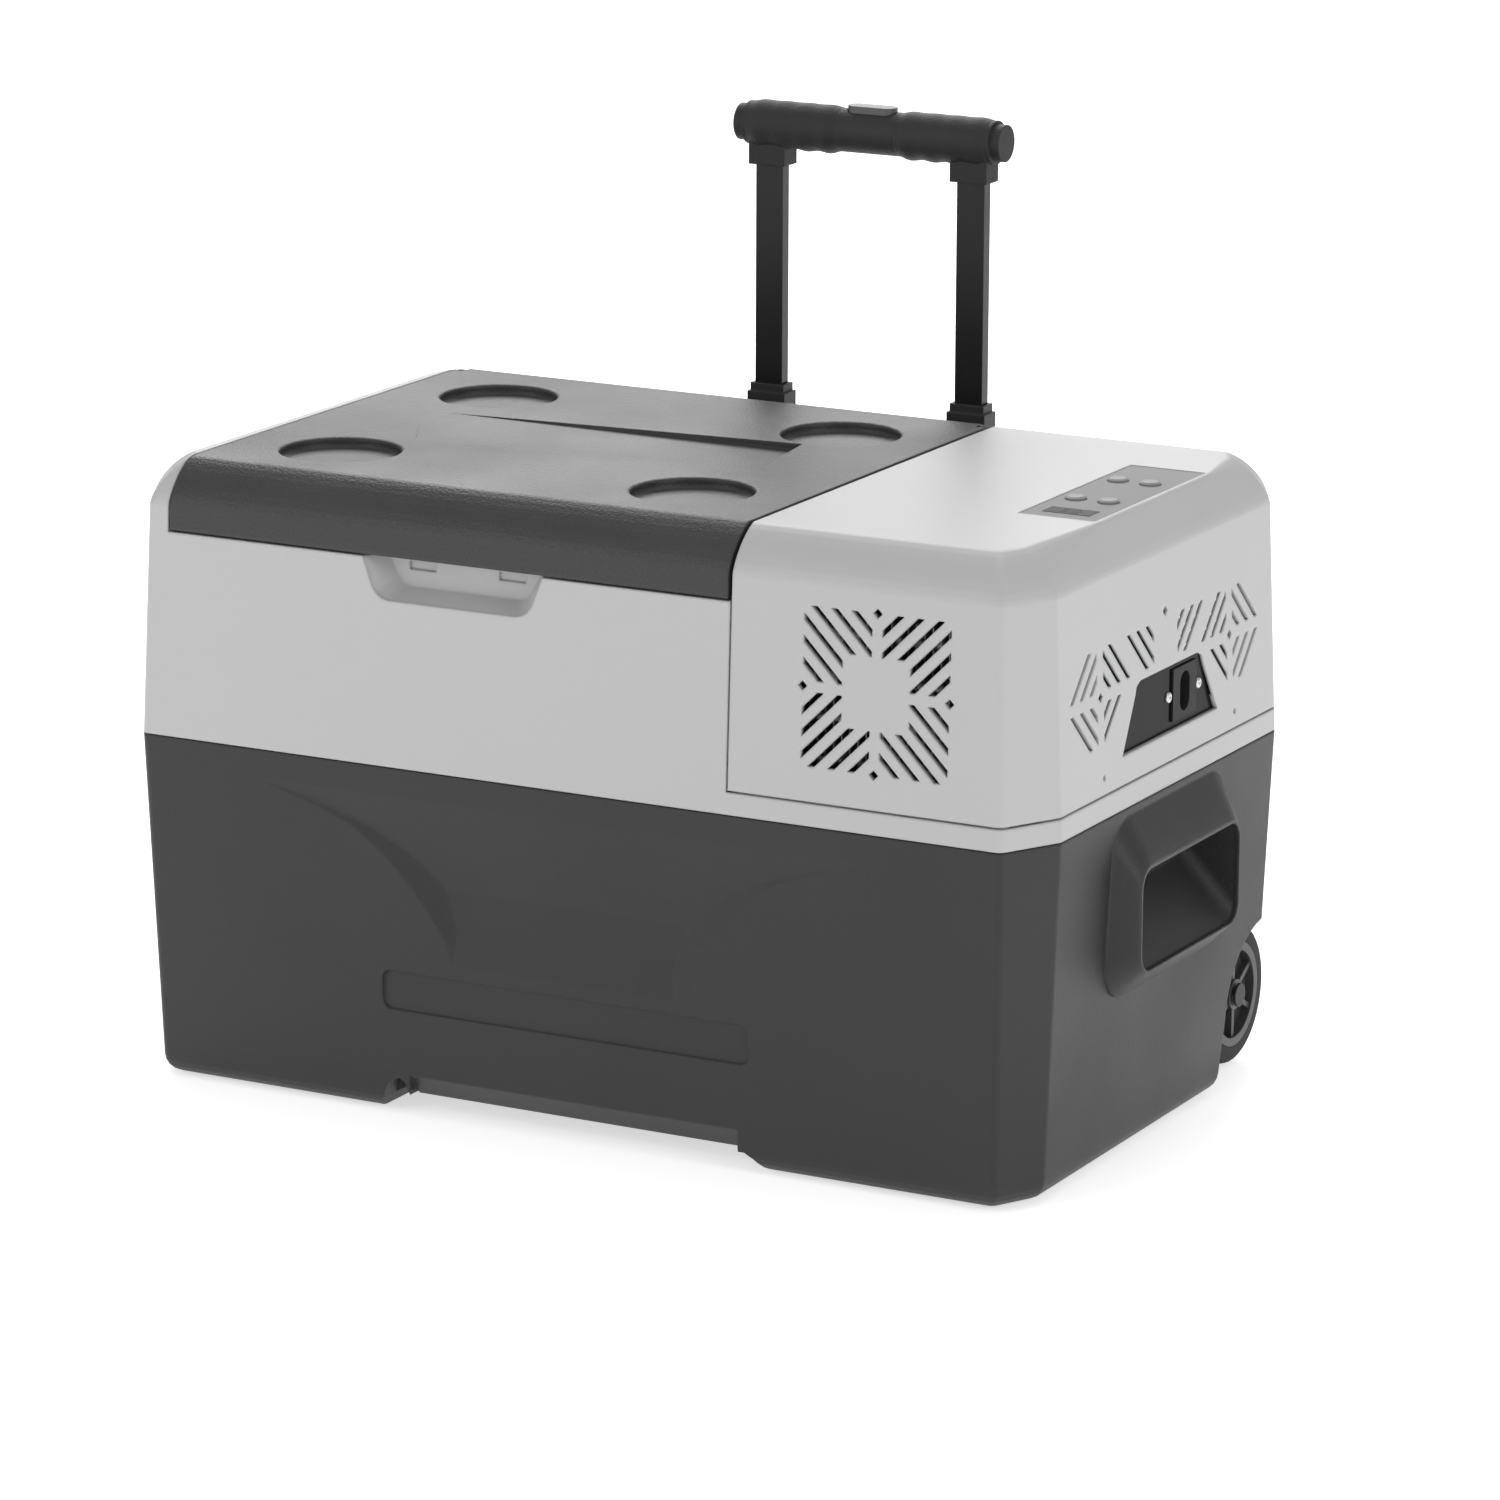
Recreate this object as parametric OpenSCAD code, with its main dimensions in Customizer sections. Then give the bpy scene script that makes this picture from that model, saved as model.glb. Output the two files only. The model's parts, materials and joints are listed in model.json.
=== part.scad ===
// Compressor cooler fridge with a lift-up lid, an end compressor bay and a trolley handle.
// Frame: +X towards the compressor end, -Y to the front, +Z up.
// Origin on the floor under the middle of the body.

/* [Body] */
// Length of the body at the seam between base and upper shell
body_l = 585; // [575:1:600]
// Depth of the body at the seam, front to back
body_d = 358; // [354:1:366]
// Height of the lid top above the floor
body_h = 366; // [362:1:372]
// Height of the seam between the base and the upper shell
seam_z = 207; // [204:1:210]
// Inward lean of every outer wall, millimetres per millimetre of height
draft = 0.042; // [0.036:0.002:0.046]
// Corner facet, measured along the length
corner_x = 19; // [16:1:22]
// Corner facet, measured along the depth
corner_y = 36; // [32:1:40]
// Small radius where a facet meets a wall
corner_round = 5; // [4:0.5:6]
// Size of the soft edge round the top
edge_r = 25; // [23:0.5:26]
// Wall of the moulded shells
wall = 3; // [2.6:0.2:3.2]
// Shadow gap between shells
gap = 1.2; // [1:0.1:1.4]

/* [Lid and finger notch] */
// Left end of the lid
lid_x0 = -256.3; // [-257:0.1:-255.5]
// Right end of the lid, at the compressor cover
lid_x1 = 104.3; // [103.8:0.1:104.8]
// Underside of the lid skirt
lid_z = 327.4; // [327:0.1:328]
// Radius of the shallow cup recesses
cup_r = 35; // [32:0.5:37]
// Depth of the cup recesses
cup_depth = 6; // [5:0.5:6]
// Distance of the cup centres from the lid middle, along the length
cup_dx = 115; // [113:1:117]
// Distance of the cup centres from the lid middle, along the depth
cup_dy = 90; // [88:1:91]
// Depth of the sloping band between the cups at its deep end
band_depth = 4.5; // [3:0.5:5]
// Width of the finger notch at the lid edge
notch_w = 116; // [110:1:120]
// Height of the finger notch
notch_h = 24; // [20:1:25]
// Depth of the finger notch
notch_depth = 14; // [12:1:15]

/* [Cool box] */
// Inside length of the cool box
tub_l = 306; // [296:2:308]
// Inside width of the cool box
tub_d = 262; // [250:2:264]
// Height of the cool box floor above the floor
tub_z = 42; // [38:1:48]
// Inside corner radius of the cool box
tub_r = 20; // [16:1:24]
// Wall of the cool box liner
tub_wall = 2; // [1.6:0.2:2.4]

/* [Compressor cover and vents] */
// Left side of the compressor cover
cover_x0 = 107; // [106.6:0.1:107.4]
// Underside of the compressor cover
cover_z = 221; // [219:0.5:223]
// Middle of the front vent along the length
vent_x = 196; // [194:1:198]
// Middle of the front vent above the floor
vent_z = 285; // [282:1:286]
// Half of the vent square
vent_half = 44.5; // [42:0.5:45]
// Half of the plain square in the vent middle
vent_blank = 20.4; // [18:0.2:22]
// Spacing of the vent slots along an edge
slot_pitch = 12.2; // [11.8:0.1:12.6]
// Width of a vent slot
slot_w = 2.9; // [2.5:0.1:3.3]
// Bottom of the black inlet panel
inlet_z0 = 237.3; // [235:0.5:239]
// Top of the black inlet panel
inlet_z1 = 274.5; // [273:0.5:276]

/* [Control panel] */
// Middle of the control panel along the length
panel_x = 246.5; // [245:0.5:248]
// Middle of the control panel along the depth
panel_y = 15; // [10:1:16]
// Width of the control panel plate
panel_w = 46; // [44:1:47]
// Length of the control panel plate
panel_l = 147; // [140:1:148]
// Radius of the push buttons
button_r = 6; // [5:0.5:6.5]
// Travel of a push button
button_travel = 0.8; // [0.5:0.1:1]

/* [Trolley] */
// Distance of each pole from the middle
pole_x = 67; // [64:1:70]
// Front face of the poles
pole_y = 196; // [195:0.5:198]
// Width of a pole
pole_w = 18; // [16:1:19]
// Thickness of a pole
pole_t = 8; // [7:0.5:9]
// Underside of the grip at the middle stop
grip_z = 500; // [496:1:505]
// Height of the top of the collars
collar_z = 367; // [366:1:368]
// Radius of the wheels
wheel_r = 42; // [41:0.5:43]
// Width of the wheels
wheel_w = 24; // [20:1:24]
// Wheel centre behind the body middle
wheel_y = 147; // [146:1:148]
// Wheel centre above the floor
wheel_z = 44; // [44:0.5:45]

/* [Hidden] */
$fn = 48;

far = 400;
slab_t = 0.05;
edge_power = 1.4;
half_l = body_l / 2;
half_d = body_d / 2;
edge_start_z = body_h - edge_r;
edge_start_inset = draft * (edge_start_z - seam_z);
lid_mid_x = (lid_x0 + lid_x1) / 2;
cup_mid_y = -4;

// floor and feet of the base
base_bottom = 1.5;
base_edge = 12;
base_top = seam_z - 0.3;
upper_bottom = seam_z + 0.3;
base_inset = draft * (base_top - base_edge - base_bottom);
floor_z = 15.5;
pad_x = 208;
pad_y = 128;
pad_r = 12;

// deck under the lid and the rim of the cool box
deck_z = 326;
tub_x = -79;
tub_y = -4;
tub_top = deck_z + 2;
coil_gap = 5.5;
coil_r = 2;

// lid hinge
hinge_y = 151.5;
hinge_z = body_h - 7;
barrel_r = 6.8;
barrel_clear_r = 8.2;
hinge_pin_r = 2;
fit = 0.05;
ear_w = 6;
lid_rear_y = hinge_y - 1;
cup_floor_t = 3;

// side grips
grip_half = 74;
grip_top = 203;
grip_foot = 100;
grip_out = 15;
grip_mouth_half = 65;
grip_mouth_z0 = 115;
grip_mouth_z1 = 173.5;
grip_mouth_r = 11;
grip_depth = 34;
grip_front = half_l - draft * (seam_z - grip_mouth_z1) + grip_out;

// end wall
end_vent_y = -4;
end_vent_z = 276;
end_node_y = 85.7;
end_slot_z0 = 3.5;
end_slot_z1 = 27;
end_slot_first = 24;
inlet_bottom_half = 63;
inlet_top_half = 45;
socket_y = 21;
socket_z = 256.5;
end_face_x = half_l - draft * (inlet_z1 - seam_z) + 0.6;

// console that carries the control panel
console_x = 274;
console_y0 = -60;
console_y1 = 89;
console_r = 4;
plate_t = 1.6;
plate_z = body_h - plate_t;
button_dx = 10;
button_dy = 27.5;
button_y0 = 4.5;

// compressor bay
chassis_z = floor_z + 1;
chassis_t = 1.6;
comp_x = 196;
comp_y = 62;
comp_r = 56;
comp_foot_z = chassis_z + chassis_t + 8;
fan_x = vent_x;
fan_y = -118;
fan_z = 262;
fan_half = 60;
drier_x = 252;
drier_y = -62;

// trolley
tube_wall = 1.8;
slide_gap = 0.35;
tube_z0 = 62;
tube_z1 = 349;
pole_length = 274;
handle_grip_h = 38;
handle_grip_half = 88;

// wheels
wheel_x0 = 246;
axle_r = 4;
arch_r = 50;
rim_r = wheel_r - 11;
arch_wall = 3;

// plan view of the body, eight corners, pulled in by inset
module outline(inset) {
    offset(r = corner_round, $fn = 32)
        offset(delta = -inset - corner_round)
            polygon([
                [half_l - corner_x, -half_d], [half_l, -half_d + corner_y],
                [half_l, half_d - corner_y], [half_l - corner_x, half_d],
                [-half_l + corner_x, half_d], [-half_l, half_d - corner_y],
                [-half_l, -half_d + corner_y], [-half_l + corner_x, -half_d]
            ]);
}

// thin slice of the body whose top is at height z
module slab(z, inset) {
    translate([0, 0, z - slab_t]) linear_extrude(slab_t) outline(inset);
}

// inset and drop of the soft top edge at angle a, 0 at the wall and 90 at the top
function edge_inset(a) = edge_r * (1 - pow(cos(a), 2 / edge_power));
function edge_drop(a) = edge_r * (1 - pow(sin(a), 2 / edge_power));

// upper half of the body as one convex solid, skin millimetres inside the outer surface
module upper_form(skin) {
    hull() {
        slab(upper_bottom + slab_t, skin);
        for (a = [0:11.25:90])
            slab(body_h - edge_drop(a) - skin, edge_start_inset + edge_inset(a) + skin);
        for (y = [console_y0, console_y1])
            translate([console_x - console_r - skin, y, body_h - console_r - skin])
                sphere(console_r, $fn = 16);
    }
}

// lower half of the body as one convex solid
module base_form(skin) {
    hull() {
        slab(base_top, skin);
        for (a = [0:18:90])
            slab(
                base_bottom + slab_t + base_edge * (1 - sin(a)) + skin,
                base_inset + base_edge * (1 - cos(a)) + skin
            );
    }
}

// box between two opposite corners
module block(low, high) {
    translate(low) cube(high - low);
}

// upright box with round vertical corners
module round_box(low, high, r) {
    block([low[0] + r, low[1], low[2]], [high[0] - r, high[1], high[2]]);
    block([low[0], low[1] + r, low[2]], [high[0], high[1] - r, high[2]]);
    for (x = [low[0] + r, high[0] - r], y = [low[1] + r, high[1] - r])
        translate([x, y, low[2]]) cylinder(h = high[2] - low[2], r = r);
}

// round bar along X, along Y
module bar_x(x0, x1, r) {
    translate([x0, 0, 0]) rotate([0, 90, 0]) cylinder(h = x1 - x0, r = r);
}
module bar_y(y0, y1, r) {
    translate([0, y0, 0]) rotate([-90, 0, 0]) cylinder(h = y1 - y0, r = r);
}

// prism along Y from an outline in X and Z
module prism_y(y0, y1, points) {
    translate([0, y1, 0]) rotate([90, 0, 0]) linear_extrude(y1 - y0) polygon(points);
}

// prism along X from an outline in Y and Z
module prism_x(x0, x1, points) {
    translate([x0, 0, 0]) rotate([90, 0, 90]) linear_extrude(x1 - x0) polygon(points);
}

// children on the right side and mirrored on the left side
module both_ends() {
    children();
    mirror([1, 0, 0]) children();
}

// ---- base -------------------------------------------------------------------------------

// space taken by a wheel, with an open back and bottom
module wheel_arch(grow, x0, x1) {
    translate([0, wheel_y, wheel_z]) bar_x(x0, x1, arch_r + grow);
    prism_x(x0, x1, [
        [wheel_y - arch_r - grow, wheel_z], [93 - grow, 21], [90 - grow, -1],
        [half_d + 30, -1], [half_d + 30, wheel_z + arch_r + grow],
        [wheel_y, wheel_z + arch_r + grow]
    ]);
}

// slice of the hood that reaches out to x, with round corners of radius r
module hood_slice(x, half, z0, z1, r) {
    for (y = [-half + r, half - r], z = [z0 + r, z1 - r])
        translate([0, y, z]) bar_x(x - 1, x, r, $fn = 32);
}

// raised hood round a side grip, its top and sides sloping back to the wall
module grip_hood() {
    foot = grip_foot;
    top = grip_mouth_z1;
    hull() {
        hood_slice(half_l - 3, grip_half + 2, foot - 2, base_top - 0.5, 20);
        hood_slice(half_l - 0.6, grip_half, foot, grip_top, 20);
        hood_slice(grip_front - 5, grip_half - 4, foot + 9, top + 12.5, 18);
        hood_slice(grip_front - 1.5, grip_half - 6, foot + 12.5, top + 5.5, 15);
        hood_slice(grip_front, grip_half - 7.5, foot + 14, top + 2, 13);
    }
}

// rounded slice of the grip mouth between two heights, at distance x
module mouth_slice(x, half, z0, z1, t) {
    r = grip_mouth_r;
    for (y = [-half + r, half - r], z = [z0 + r, z1 - r])
        translate([0, y, z]) bar_x(x, x + t, r, $fn = 32);
}

// hand space of a side grip, shallow at its foot and deep at its top
module grip_mouth() {
    hull() {
        mouth_slice(grip_front - 3, grip_mouth_half, grip_mouth_z0, grip_mouth_z1, 12);
        mouth_slice(
            grip_front - grip_depth, grip_mouth_half - 3,
            grip_mouth_z1 - 24, grip_mouth_z1 - 2, 5
        );
    }
}

// shallow dish pressed into the front wall between two sweeping shoulders
module front_dish() {
    intersection() {
        translate([0, -half_d - 1, 0]) rotate([-90, 0, 0])
            linear_extrude(12, scale = [0.6, 1])
                polygon([
                    for (p = [
                        [-218, 192], [-175, 180], [-148, 170], [-130, 157], [-116, 143],
                        [-102, 125], [-91, 108], [-88, 90], [88, 90], [91, 108], [102, 125],
                        [116, 143], [130, 157], [148, 170], [175, 180], [218, 192]
                    ]) [p[0], -p[1]]
                ]);
        prism_x(-far, far, [
            [-half_d - 5, 198], [-half_d + draft * 17, 190],
            [-half_d + draft * (seam_z - 152) + 4.4, 152],
            [-half_d + draft * (seam_z - 138) + 5.4, 138],
            [-half_d + draft * (seam_z - 118) + 3.6, 118],
            [-half_d + draft * (seam_z - 95), 95], [-half_d - 5, 95]
        ]);
    }
}

// parts of the bottom that stand clear of the floor between the two feet
module bottom_relief() {
    prism_y(-far, far, [
        [-126, -1], [-121, 8], [-114, 12], [114, 12], [119, 9], [124, 4], [129, -1]
    ]);
    // bevel along the raised front edge
    for (s = [-1, 1]) scale([1, s, 1]) prism_x(-102, 110, [
        [-half_d - 5, 28], [-half_d + draft * (seam_z - 25), 25], [-160, 11], [-half_d - 5, 11]
    ]);
    // scooped notch beside the left foot
    prism_y(-far, -154, [
        [-124, -1], [-121, 8], [-117, 18], [-110, 23], [-105, 20], [-101, 11]
    ]);
}

module base_shell() color("dimgray") difference() {
    union() {
        difference() {
            base_form(0);
            intersection() {
                base_form(wall);
                block([-far, -far, floor_z], [far, far, far]);
            }
            for (s = [-1, 1])
                block([s * 195 - 60, -148, 4.5], [s * 195 + 60, 80, floor_z + 1]);
        }
        intersection() {
            base_form(0.01);
            union() {
                both_ends() {
                    wheel_arch(arch_wall, wheel_x0 - 5 - arch_wall, far);
                    block(
                        [grip_front - grip_depth - 3, -grip_mouth_half - 3, 100],
                        [far, grip_mouth_half + 3, grip_mouth_z1 + 7]
                    );
                }
                for (x = [-pad_x, pad_x], y = [-pad_y, pad_y])
                    translate([x, y, base_bottom]) cylinder(h = 8, r = pad_r + 3);
                // thicker wall behind the reliefs of the front
                block([-222, -half_d, 50], [222, -half_d + 12.5, 200]);
                for (s = [-1, 1]) scale([1, s, 1]) prism_x(-130, 130, [
                    [-half_d, 5], [-154, 5], [-154, 20], [-165, 36], [-half_d, 36]
                ]);
            }
        }
        both_ends() grip_hood();
    }
    both_ends() {
        wheel_arch(0, wheel_x0 - 5, far);
        grip_mouth();
        translate([0, wheel_y, wheel_z]) bar_x(wheel_x0 - 20, far, axle_r);
    }
    front_dish();
    front_slot();
    bottom_relief();
    for (x = [-pad_x, pad_x], y = [-pad_y, pad_y])
        translate([x, y, -1]) cylinder(h = 4, r = pad_r);
}

// sunken strip on the front wall, with round corners
module front_slot() {
    z0 = 63.5;
    z1 = 87;
    x1 = 118;
    r = 6;
    y0 = -half_d + draft * (seam_z - z0);
    for (dx = [0, r])
        block([-x1 + dx, y0 - 8, z0 + r - dx], [x1 - dx, y0 + 1.2, z1 - r + dx]);
    for (x = [-x1 + r, x1 - r], z = [z0 + r, z1 - r])
        translate([x, 0, z]) bar_y(y0 - 8, y0 + 1.2, r);
}

module foot_pads() color([0.09, 0.09, 0.09])
    for (x = [-pad_x, pad_x], y = [-pad_y, pad_y])
        translate([x, y, 0]) cylinder(h = 3, r = pad_r - 0.2);

// ---- upper shell ------------------------------------------------------------------------

// finger notch under the lid edge, wide outside and narrower inside
module finger_notch() {
    mid = -70;
    r = 13;
    hull() {
        for (side = [-1, 1]) {
            translate([mid + side * (notch_w / 2 - r - 5), 0, lid_z - 1 - notch_h + r])
                bar_y(-half_d - 2, -half_d + 6, r);
            translate([mid + side * (notch_w / 2 - r - 11), 0, lid_z + 2 - notch_h + r])
                bar_y(-half_d + 6, -half_d + 6 + notch_depth, r - 3);
        }
        block(
            [mid - notch_w / 2, -half_d - 2, deck_z],
            [mid + notch_w / 2, -half_d + 6, deck_z + 5]
        );
        block(
            [mid - notch_w / 2 + 8, -half_d + 6, deck_z],
            [mid + notch_w / 2 - 8, -half_d + 6 + notch_depth, deck_z + 5]
        );
    }
}

module upper_shell() color("lightgray") difference() {
    union() {
        difference() {
            upper_form(0);
            intersection() {
                upper_form(wall);
                union() {
                    block([-far, -far, 0], [far, far, deck_z - wall]);
                    block([-far, -far, 0], [lid_x0 - gap - wall, far, far]);
                }
            }
            block([lid_x0 - gap, -far, deck_z], [far, far, far]);
            block([cover_x0 - gap, -far, cover_z - gap], [far, far, far]);
            block([-far, -far, 0], [far, far, upper_bottom]);
        }
        intersection() {
            upper_form(0.01);
            block([-136, -half_d, 296], [-4, -half_d + 23, deck_z]);
        }
        // lip that locates the compressor cover
        difference() {
            union() {
                intersection() {
                    upper_form(wall + 0.3);
                    block([cover_x0 + 4, -far, upper_bottom], [far, far, cover_z + 5]);
                }
                intersection() {
                    upper_form(0.01);
                    block([cover_x0 + 4, -far, upper_bottom], [far, far, cover_z - gap - 2]);
                }
            }
            block([0, -half_d + 9.2, 0], [half_l - 9.2, half_d - 9.2, far]);
        }
    }
    finger_notch();
    // two small latch pockets in the back of the notch
    for (x = [-106, -48]) block([x, -half_d + 15, 318], [x + 17, -half_d + 21.5, 323]);
    round_box(
        [tub_x - tub_l / 2 - tub_wall - 0.3, tub_y - tub_d / 2 - tub_wall - 0.3, 300],
        [tub_x + tub_l / 2 + tub_wall + 0.3, tub_y + tub_d / 2 + tub_wall + 0.3, deck_z + 1],
        tub_r + tub_wall
    );
}

// ---- cool box ---------------------------------------------------------------------------

module tub_liner() color("whitesmoke") difference() {
    union() {
        round_box(
            [tub_x - tub_l / 2 - tub_wall, tub_y - tub_d / 2 - tub_wall, tub_z - tub_wall],
            [tub_x + tub_l / 2 + tub_wall, tub_y + tub_d / 2 + tub_wall, tub_top],
            tub_r + tub_wall
        );
        round_box(
            [tub_x - tub_l / 2 - 10, tub_y - tub_d / 2 - 10, deck_z],
            [tub_x + tub_l / 2 + 10, tub_y + tub_d / 2 + 10, tub_top],
            tub_r + 10
        );
    }
    round_box(
        [tub_x - tub_l / 2, tub_y - tub_d / 2, tub_z],
        [tub_x + tub_l / 2, tub_y + tub_d / 2, tub_top + 1],
        tub_r
    );
    lamp_pocket(0);
}

// place of the small lamp high on the right wall of the cool box
module lamp_pocket(shrink) {
    x = tub_x + tub_l / 2;
    block([x - 1, tub_y - 15 + shrink, 295 + shrink], [x + tub_wall + 1, tub_y + 15 - shrink, 307 - shrink]);
}

module interior_lamp() color("white") {
    x = tub_x + tub_l / 2;
    block([x - 1.5, tub_y - 17, 293], [x, tub_y + 17, 309]);
    block([x, tub_y - 14.5, 295.5], [x + tub_wall, tub_y + 14.5, 306.5]);
}

module tub_insulation() color("khaki") difference() {
    block([-279.5, -165, floor_z + 0.5], [100.5, 165, deck_z - wall - 0.5]);
    round_box(
        [
            tub_x - tub_l / 2 - tub_wall - coil_gap, tub_y - tub_d / 2 - tub_wall - coil_gap,
            tub_z - tub_wall
        ],
        [
            tub_x + tub_l / 2 + tub_wall + coil_gap, tub_y + tub_d / 2 + tub_wall + coil_gap,
            deck_z + 5
        ],
        tub_r + tub_wall + coil_gap
    );
    block([-far, 84, 0], [-235.5, far, 106]);
    block([-far, -72, 96], [-265, 72, 185]);
    block([-142, -far, 290], [2, -half_d + 25, far]);
    for (y = [-1, 1]) scale([1, y, 1])
        prism_x(-far, far, [[120, 0], [half_d, 0], [half_d, 62], [163, 37], [152, 21], [150, 0]]);
    for (y = [-1, 1]) scale([1, y, 1]) linear_extrude(far)
        polygon([[-250, half_d], [-half_l, half_d], [-half_l, 118]]);
}

// cooling tube wound round the cool box in level turns
module evaporator_coil() color("peru") {
    bend = tub_r + tub_wall + coil_gap / 2;
    hx = tub_l / 2 + tub_wall + coil_gap / 2;
    hy = tub_d / 2 + tub_wall + coil_gap / 2;
    for (z = [90:36:234]) translate([tub_x, tub_y, z]) {
        for (s = [-1, 1]) {
            translate([0, s * hy, 0]) bar_x(-hx + bend, hx - bend, coil_r);
            translate([s * hx, 0, 0]) bar_y(-hy + bend, hy - bend, coil_r);
        }
        for (q = [0:3])
            let (sx = q == 0 || q == 3 ? 1 : -1, sy = q < 2 ? 1 : -1)
                translate([sx * (hx - bend), sy * (hy - bend), 0])
                    rotate([0, 0, 90 * q])
                        rotate_extrude(angle = 90) translate([bend, 0]) circle(coil_r, $fn = 24);
    }
}

// ---- compressor bay ---------------------------------------------------------------------

module bay_partition() color("silver")
    block([101.5, -152, floor_z + 1], [103.5, 152, deck_z - wall - 1]);

module bay_chassis() color("silver") difference() {
    union() {
        block([110, -140, floor_z], [236, 150, floor_z + 1 + chassis_t]);
        block([110, -140, floor_z], [111.6, 150, floor_z + 40]);
    }
    for (x = [-42, 42], y = [-42, 42])
        translate([comp_x - 12 + x, comp_y + y, 0]) cylinder(h = 50, r = 2.6);
}

module compressor() color([0.1, 0.1, 0.11]) translate([comp_x - 12, comp_y, comp_foot_z]) {
    // welded can with domed ends
    rotate_extrude() union() {
        translate([0, 14]) square([comp_r, 96]);
        intersection() {
            translate([0, 110]) scale([1, 1]) circle(comp_r, $fn = 96);
            translate([0, 109.9]) square([comp_r, 34]);
        }
        translate([0, 2]) square([comp_r - 12, 12]);
    }
    difference() {
        block([-52, -52, 0], [52, 52, 2.5]);
        for (x = [-42, 42], y = [-42, 42]) translate([x, y, -1]) cylinder(h = 5, r = 3.1);
    }
    translate([0, 0, 60]) bar_x(comp_r - 2, comp_r + 14, 4);
    block([-16, -comp_r - 12, 40], [16, -comp_r + 6, 76]);
}

module compressor_grommets() color([0.12, 0.12, 0.12])
    for (x = [-42, 42], y = [-42, 42])
        translate([comp_x - 12 + x, comp_y + y, chassis_z + chassis_t]) difference() {
            cylinder(h = 8, r = 8);
            translate([0, 0, -1]) cylinder(h = 10, r = 3.2);
        }

module compressor_bolts() color("gray")
    for (x = [-42, 42], y = [-42, 42])
        translate([comp_x - 12 + x, comp_y + y, 0]) {
            translate([0, 0, floor_z + 0.3]) cylinder(h = comp_foot_z - floor_z + 2.5, r = 2.5);
            translate([0, 0, comp_foot_z + 2.5]) cylinder(h = 3.5, r = 5, $fn = 6);
        }

// finned block behind the front vent
module condenser() color("silver") translate([vent_x, -145, 262]) {
    for (x = [-55:5:55]) block([x - 0.3, -12, -60], [x + 0.3, 12, 60]);
    for (z = [-48:24:48], y = [-5, 5])
        translate([0, y, z]) bar_x(-58, 58, 3);
    for (x = [-58, 56.5]) block([x, -13, -62], [x + 1.5, 13, 62]);
}

module fan_shroud() color([0.13, 0.13, 0.13]) translate([fan_x, fan_y, fan_z]) difference() {
    union() {
        difference() {
            block([-fan_half, -12, -fan_half], [fan_half, 12, fan_half]);
            bar_y(-13, 13, fan_half - 4);
        }
        bar_y(7, 12, 17);
        for (a = [90, 210, 330]) rotate([0, a, 0]) block([10, 8.5, -2], [fan_half - 2, 12, 2]);
    }
    bar_y(0, 13, 2 + fit);
}

module fan_rotor() color([0.16, 0.16, 0.16]) translate([fan_x, fan_y, fan_z]) {
    difference() {
        bar_y(-10, 5.5, 19);
        bar_y(-8.5, 6, 16.5);
    }
    bar_y(-9, 11, 2);
    intersection() {
        for (a = [0:51.43:359]) rotate([0, a, 0]) translate([17.5, -2, 0])
            rotate([38, 0, 0]) block([0, -10, -0.9], [40, 10, 0.9]);
        bar_y(-10.5, 6, fan_half - 6);
    }
}

module filter_drier() color("peru") translate([drier_x, drier_y, 60]) {
    cylinder(h = 90, r = 9);
    translate([0, 0, 90]) cylinder(h = 8, r1 = 9, r2 = 3);
    translate([0, 0, -8]) cylinder(h = 8, r1 = 3, r2 = 9);
}

// copper runs between compressor, condenser and drier
module refrigerant_lines() color("peru") {
    translate([comp_x - 12 + comp_r + 14.2, comp_y, comp_foot_z + 60]) {
        bar_x(0, 4, 3);
        translate([7, 0, 0]) rotate([90, 0, 0]) cylinder(h = 100, r = 3);
    }
    translate([drier_x, drier_y, 158.5]) cylinder(h = 40, r = 3);
    translate([drier_x, drier_y, 51.5 - 20]) cylinder(h = 20, r = 3);
}

module mains_converter() color("seagreen") {
    block([120, 128, 200], [230, 130, 300]);
    block([130, 100, 212], [165, 128, 250]);
    block([175, 106, 216], [215, 128, 240]);
    block([134, 108, 262], [210, 128, 290]);
}

// ---- compressor cover -------------------------------------------------------------------

// one corner quarter of the square vent: six slanting slots
module vent_quarter() {
    difference() {
        intersection() {
            translate([-vent_half, 3]) square([vent_half - 3, vent_half - 3]);
            for (k = [-2.5:1:2.5])
                rotate(-45) translate([-90, k * slot_pitch / sqrt(2) - slot_w / 2])
                    square([180, slot_w]);
        }
        square(2 * vent_blank, center = true);
    }
}

// square vent with four mirrored quarters and a small diamond at each side
module vent_square() {
    for (m = [0, 1], n = [0, 1]) mirror([m, 0]) mirror([0, n]) vent_quarter();
    for (a = [0:90:270]) rotate(a) translate([vent_half, 0]) rotate(45) square(4, center = true);
}

// slanting slots of the end vent, from slot first to slot last, between two heights
module end_slots(first, last, side0, side1) {
    intersection() {
        translate([side0, end_slot_z0]) square([side1 - side0, end_slot_z1 - end_slot_z0]);
        for (k = [first:last])
            translate([end_slot_first + slot_pitch * k, end_slot_z1]) rotate(45)
                translate([-70, -slot_w / 2]) square([90, slot_w]);
    }
}

// right half of the end vent, seen from outside
module end_vent_half() {
    inner = 15.6;
    outer = end_node_y - 4;
    end_slots(0, 2, inner, outer);
    end_slots(4, 6, inner, outer);
    translate([2 * end_node_y, 0]) mirror([1, 0]) end_slots(4, 6, inner, outer);
    mirror([0, 1]) {
        end_slots(5, 6, inner, outer);
        translate([2 * end_node_y, 0]) mirror([1, 0]) end_slots(4, 6, inner, outer);
    }
    translate([end_node_y, 0]) rotate(45) square(4, center = true);
}

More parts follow.
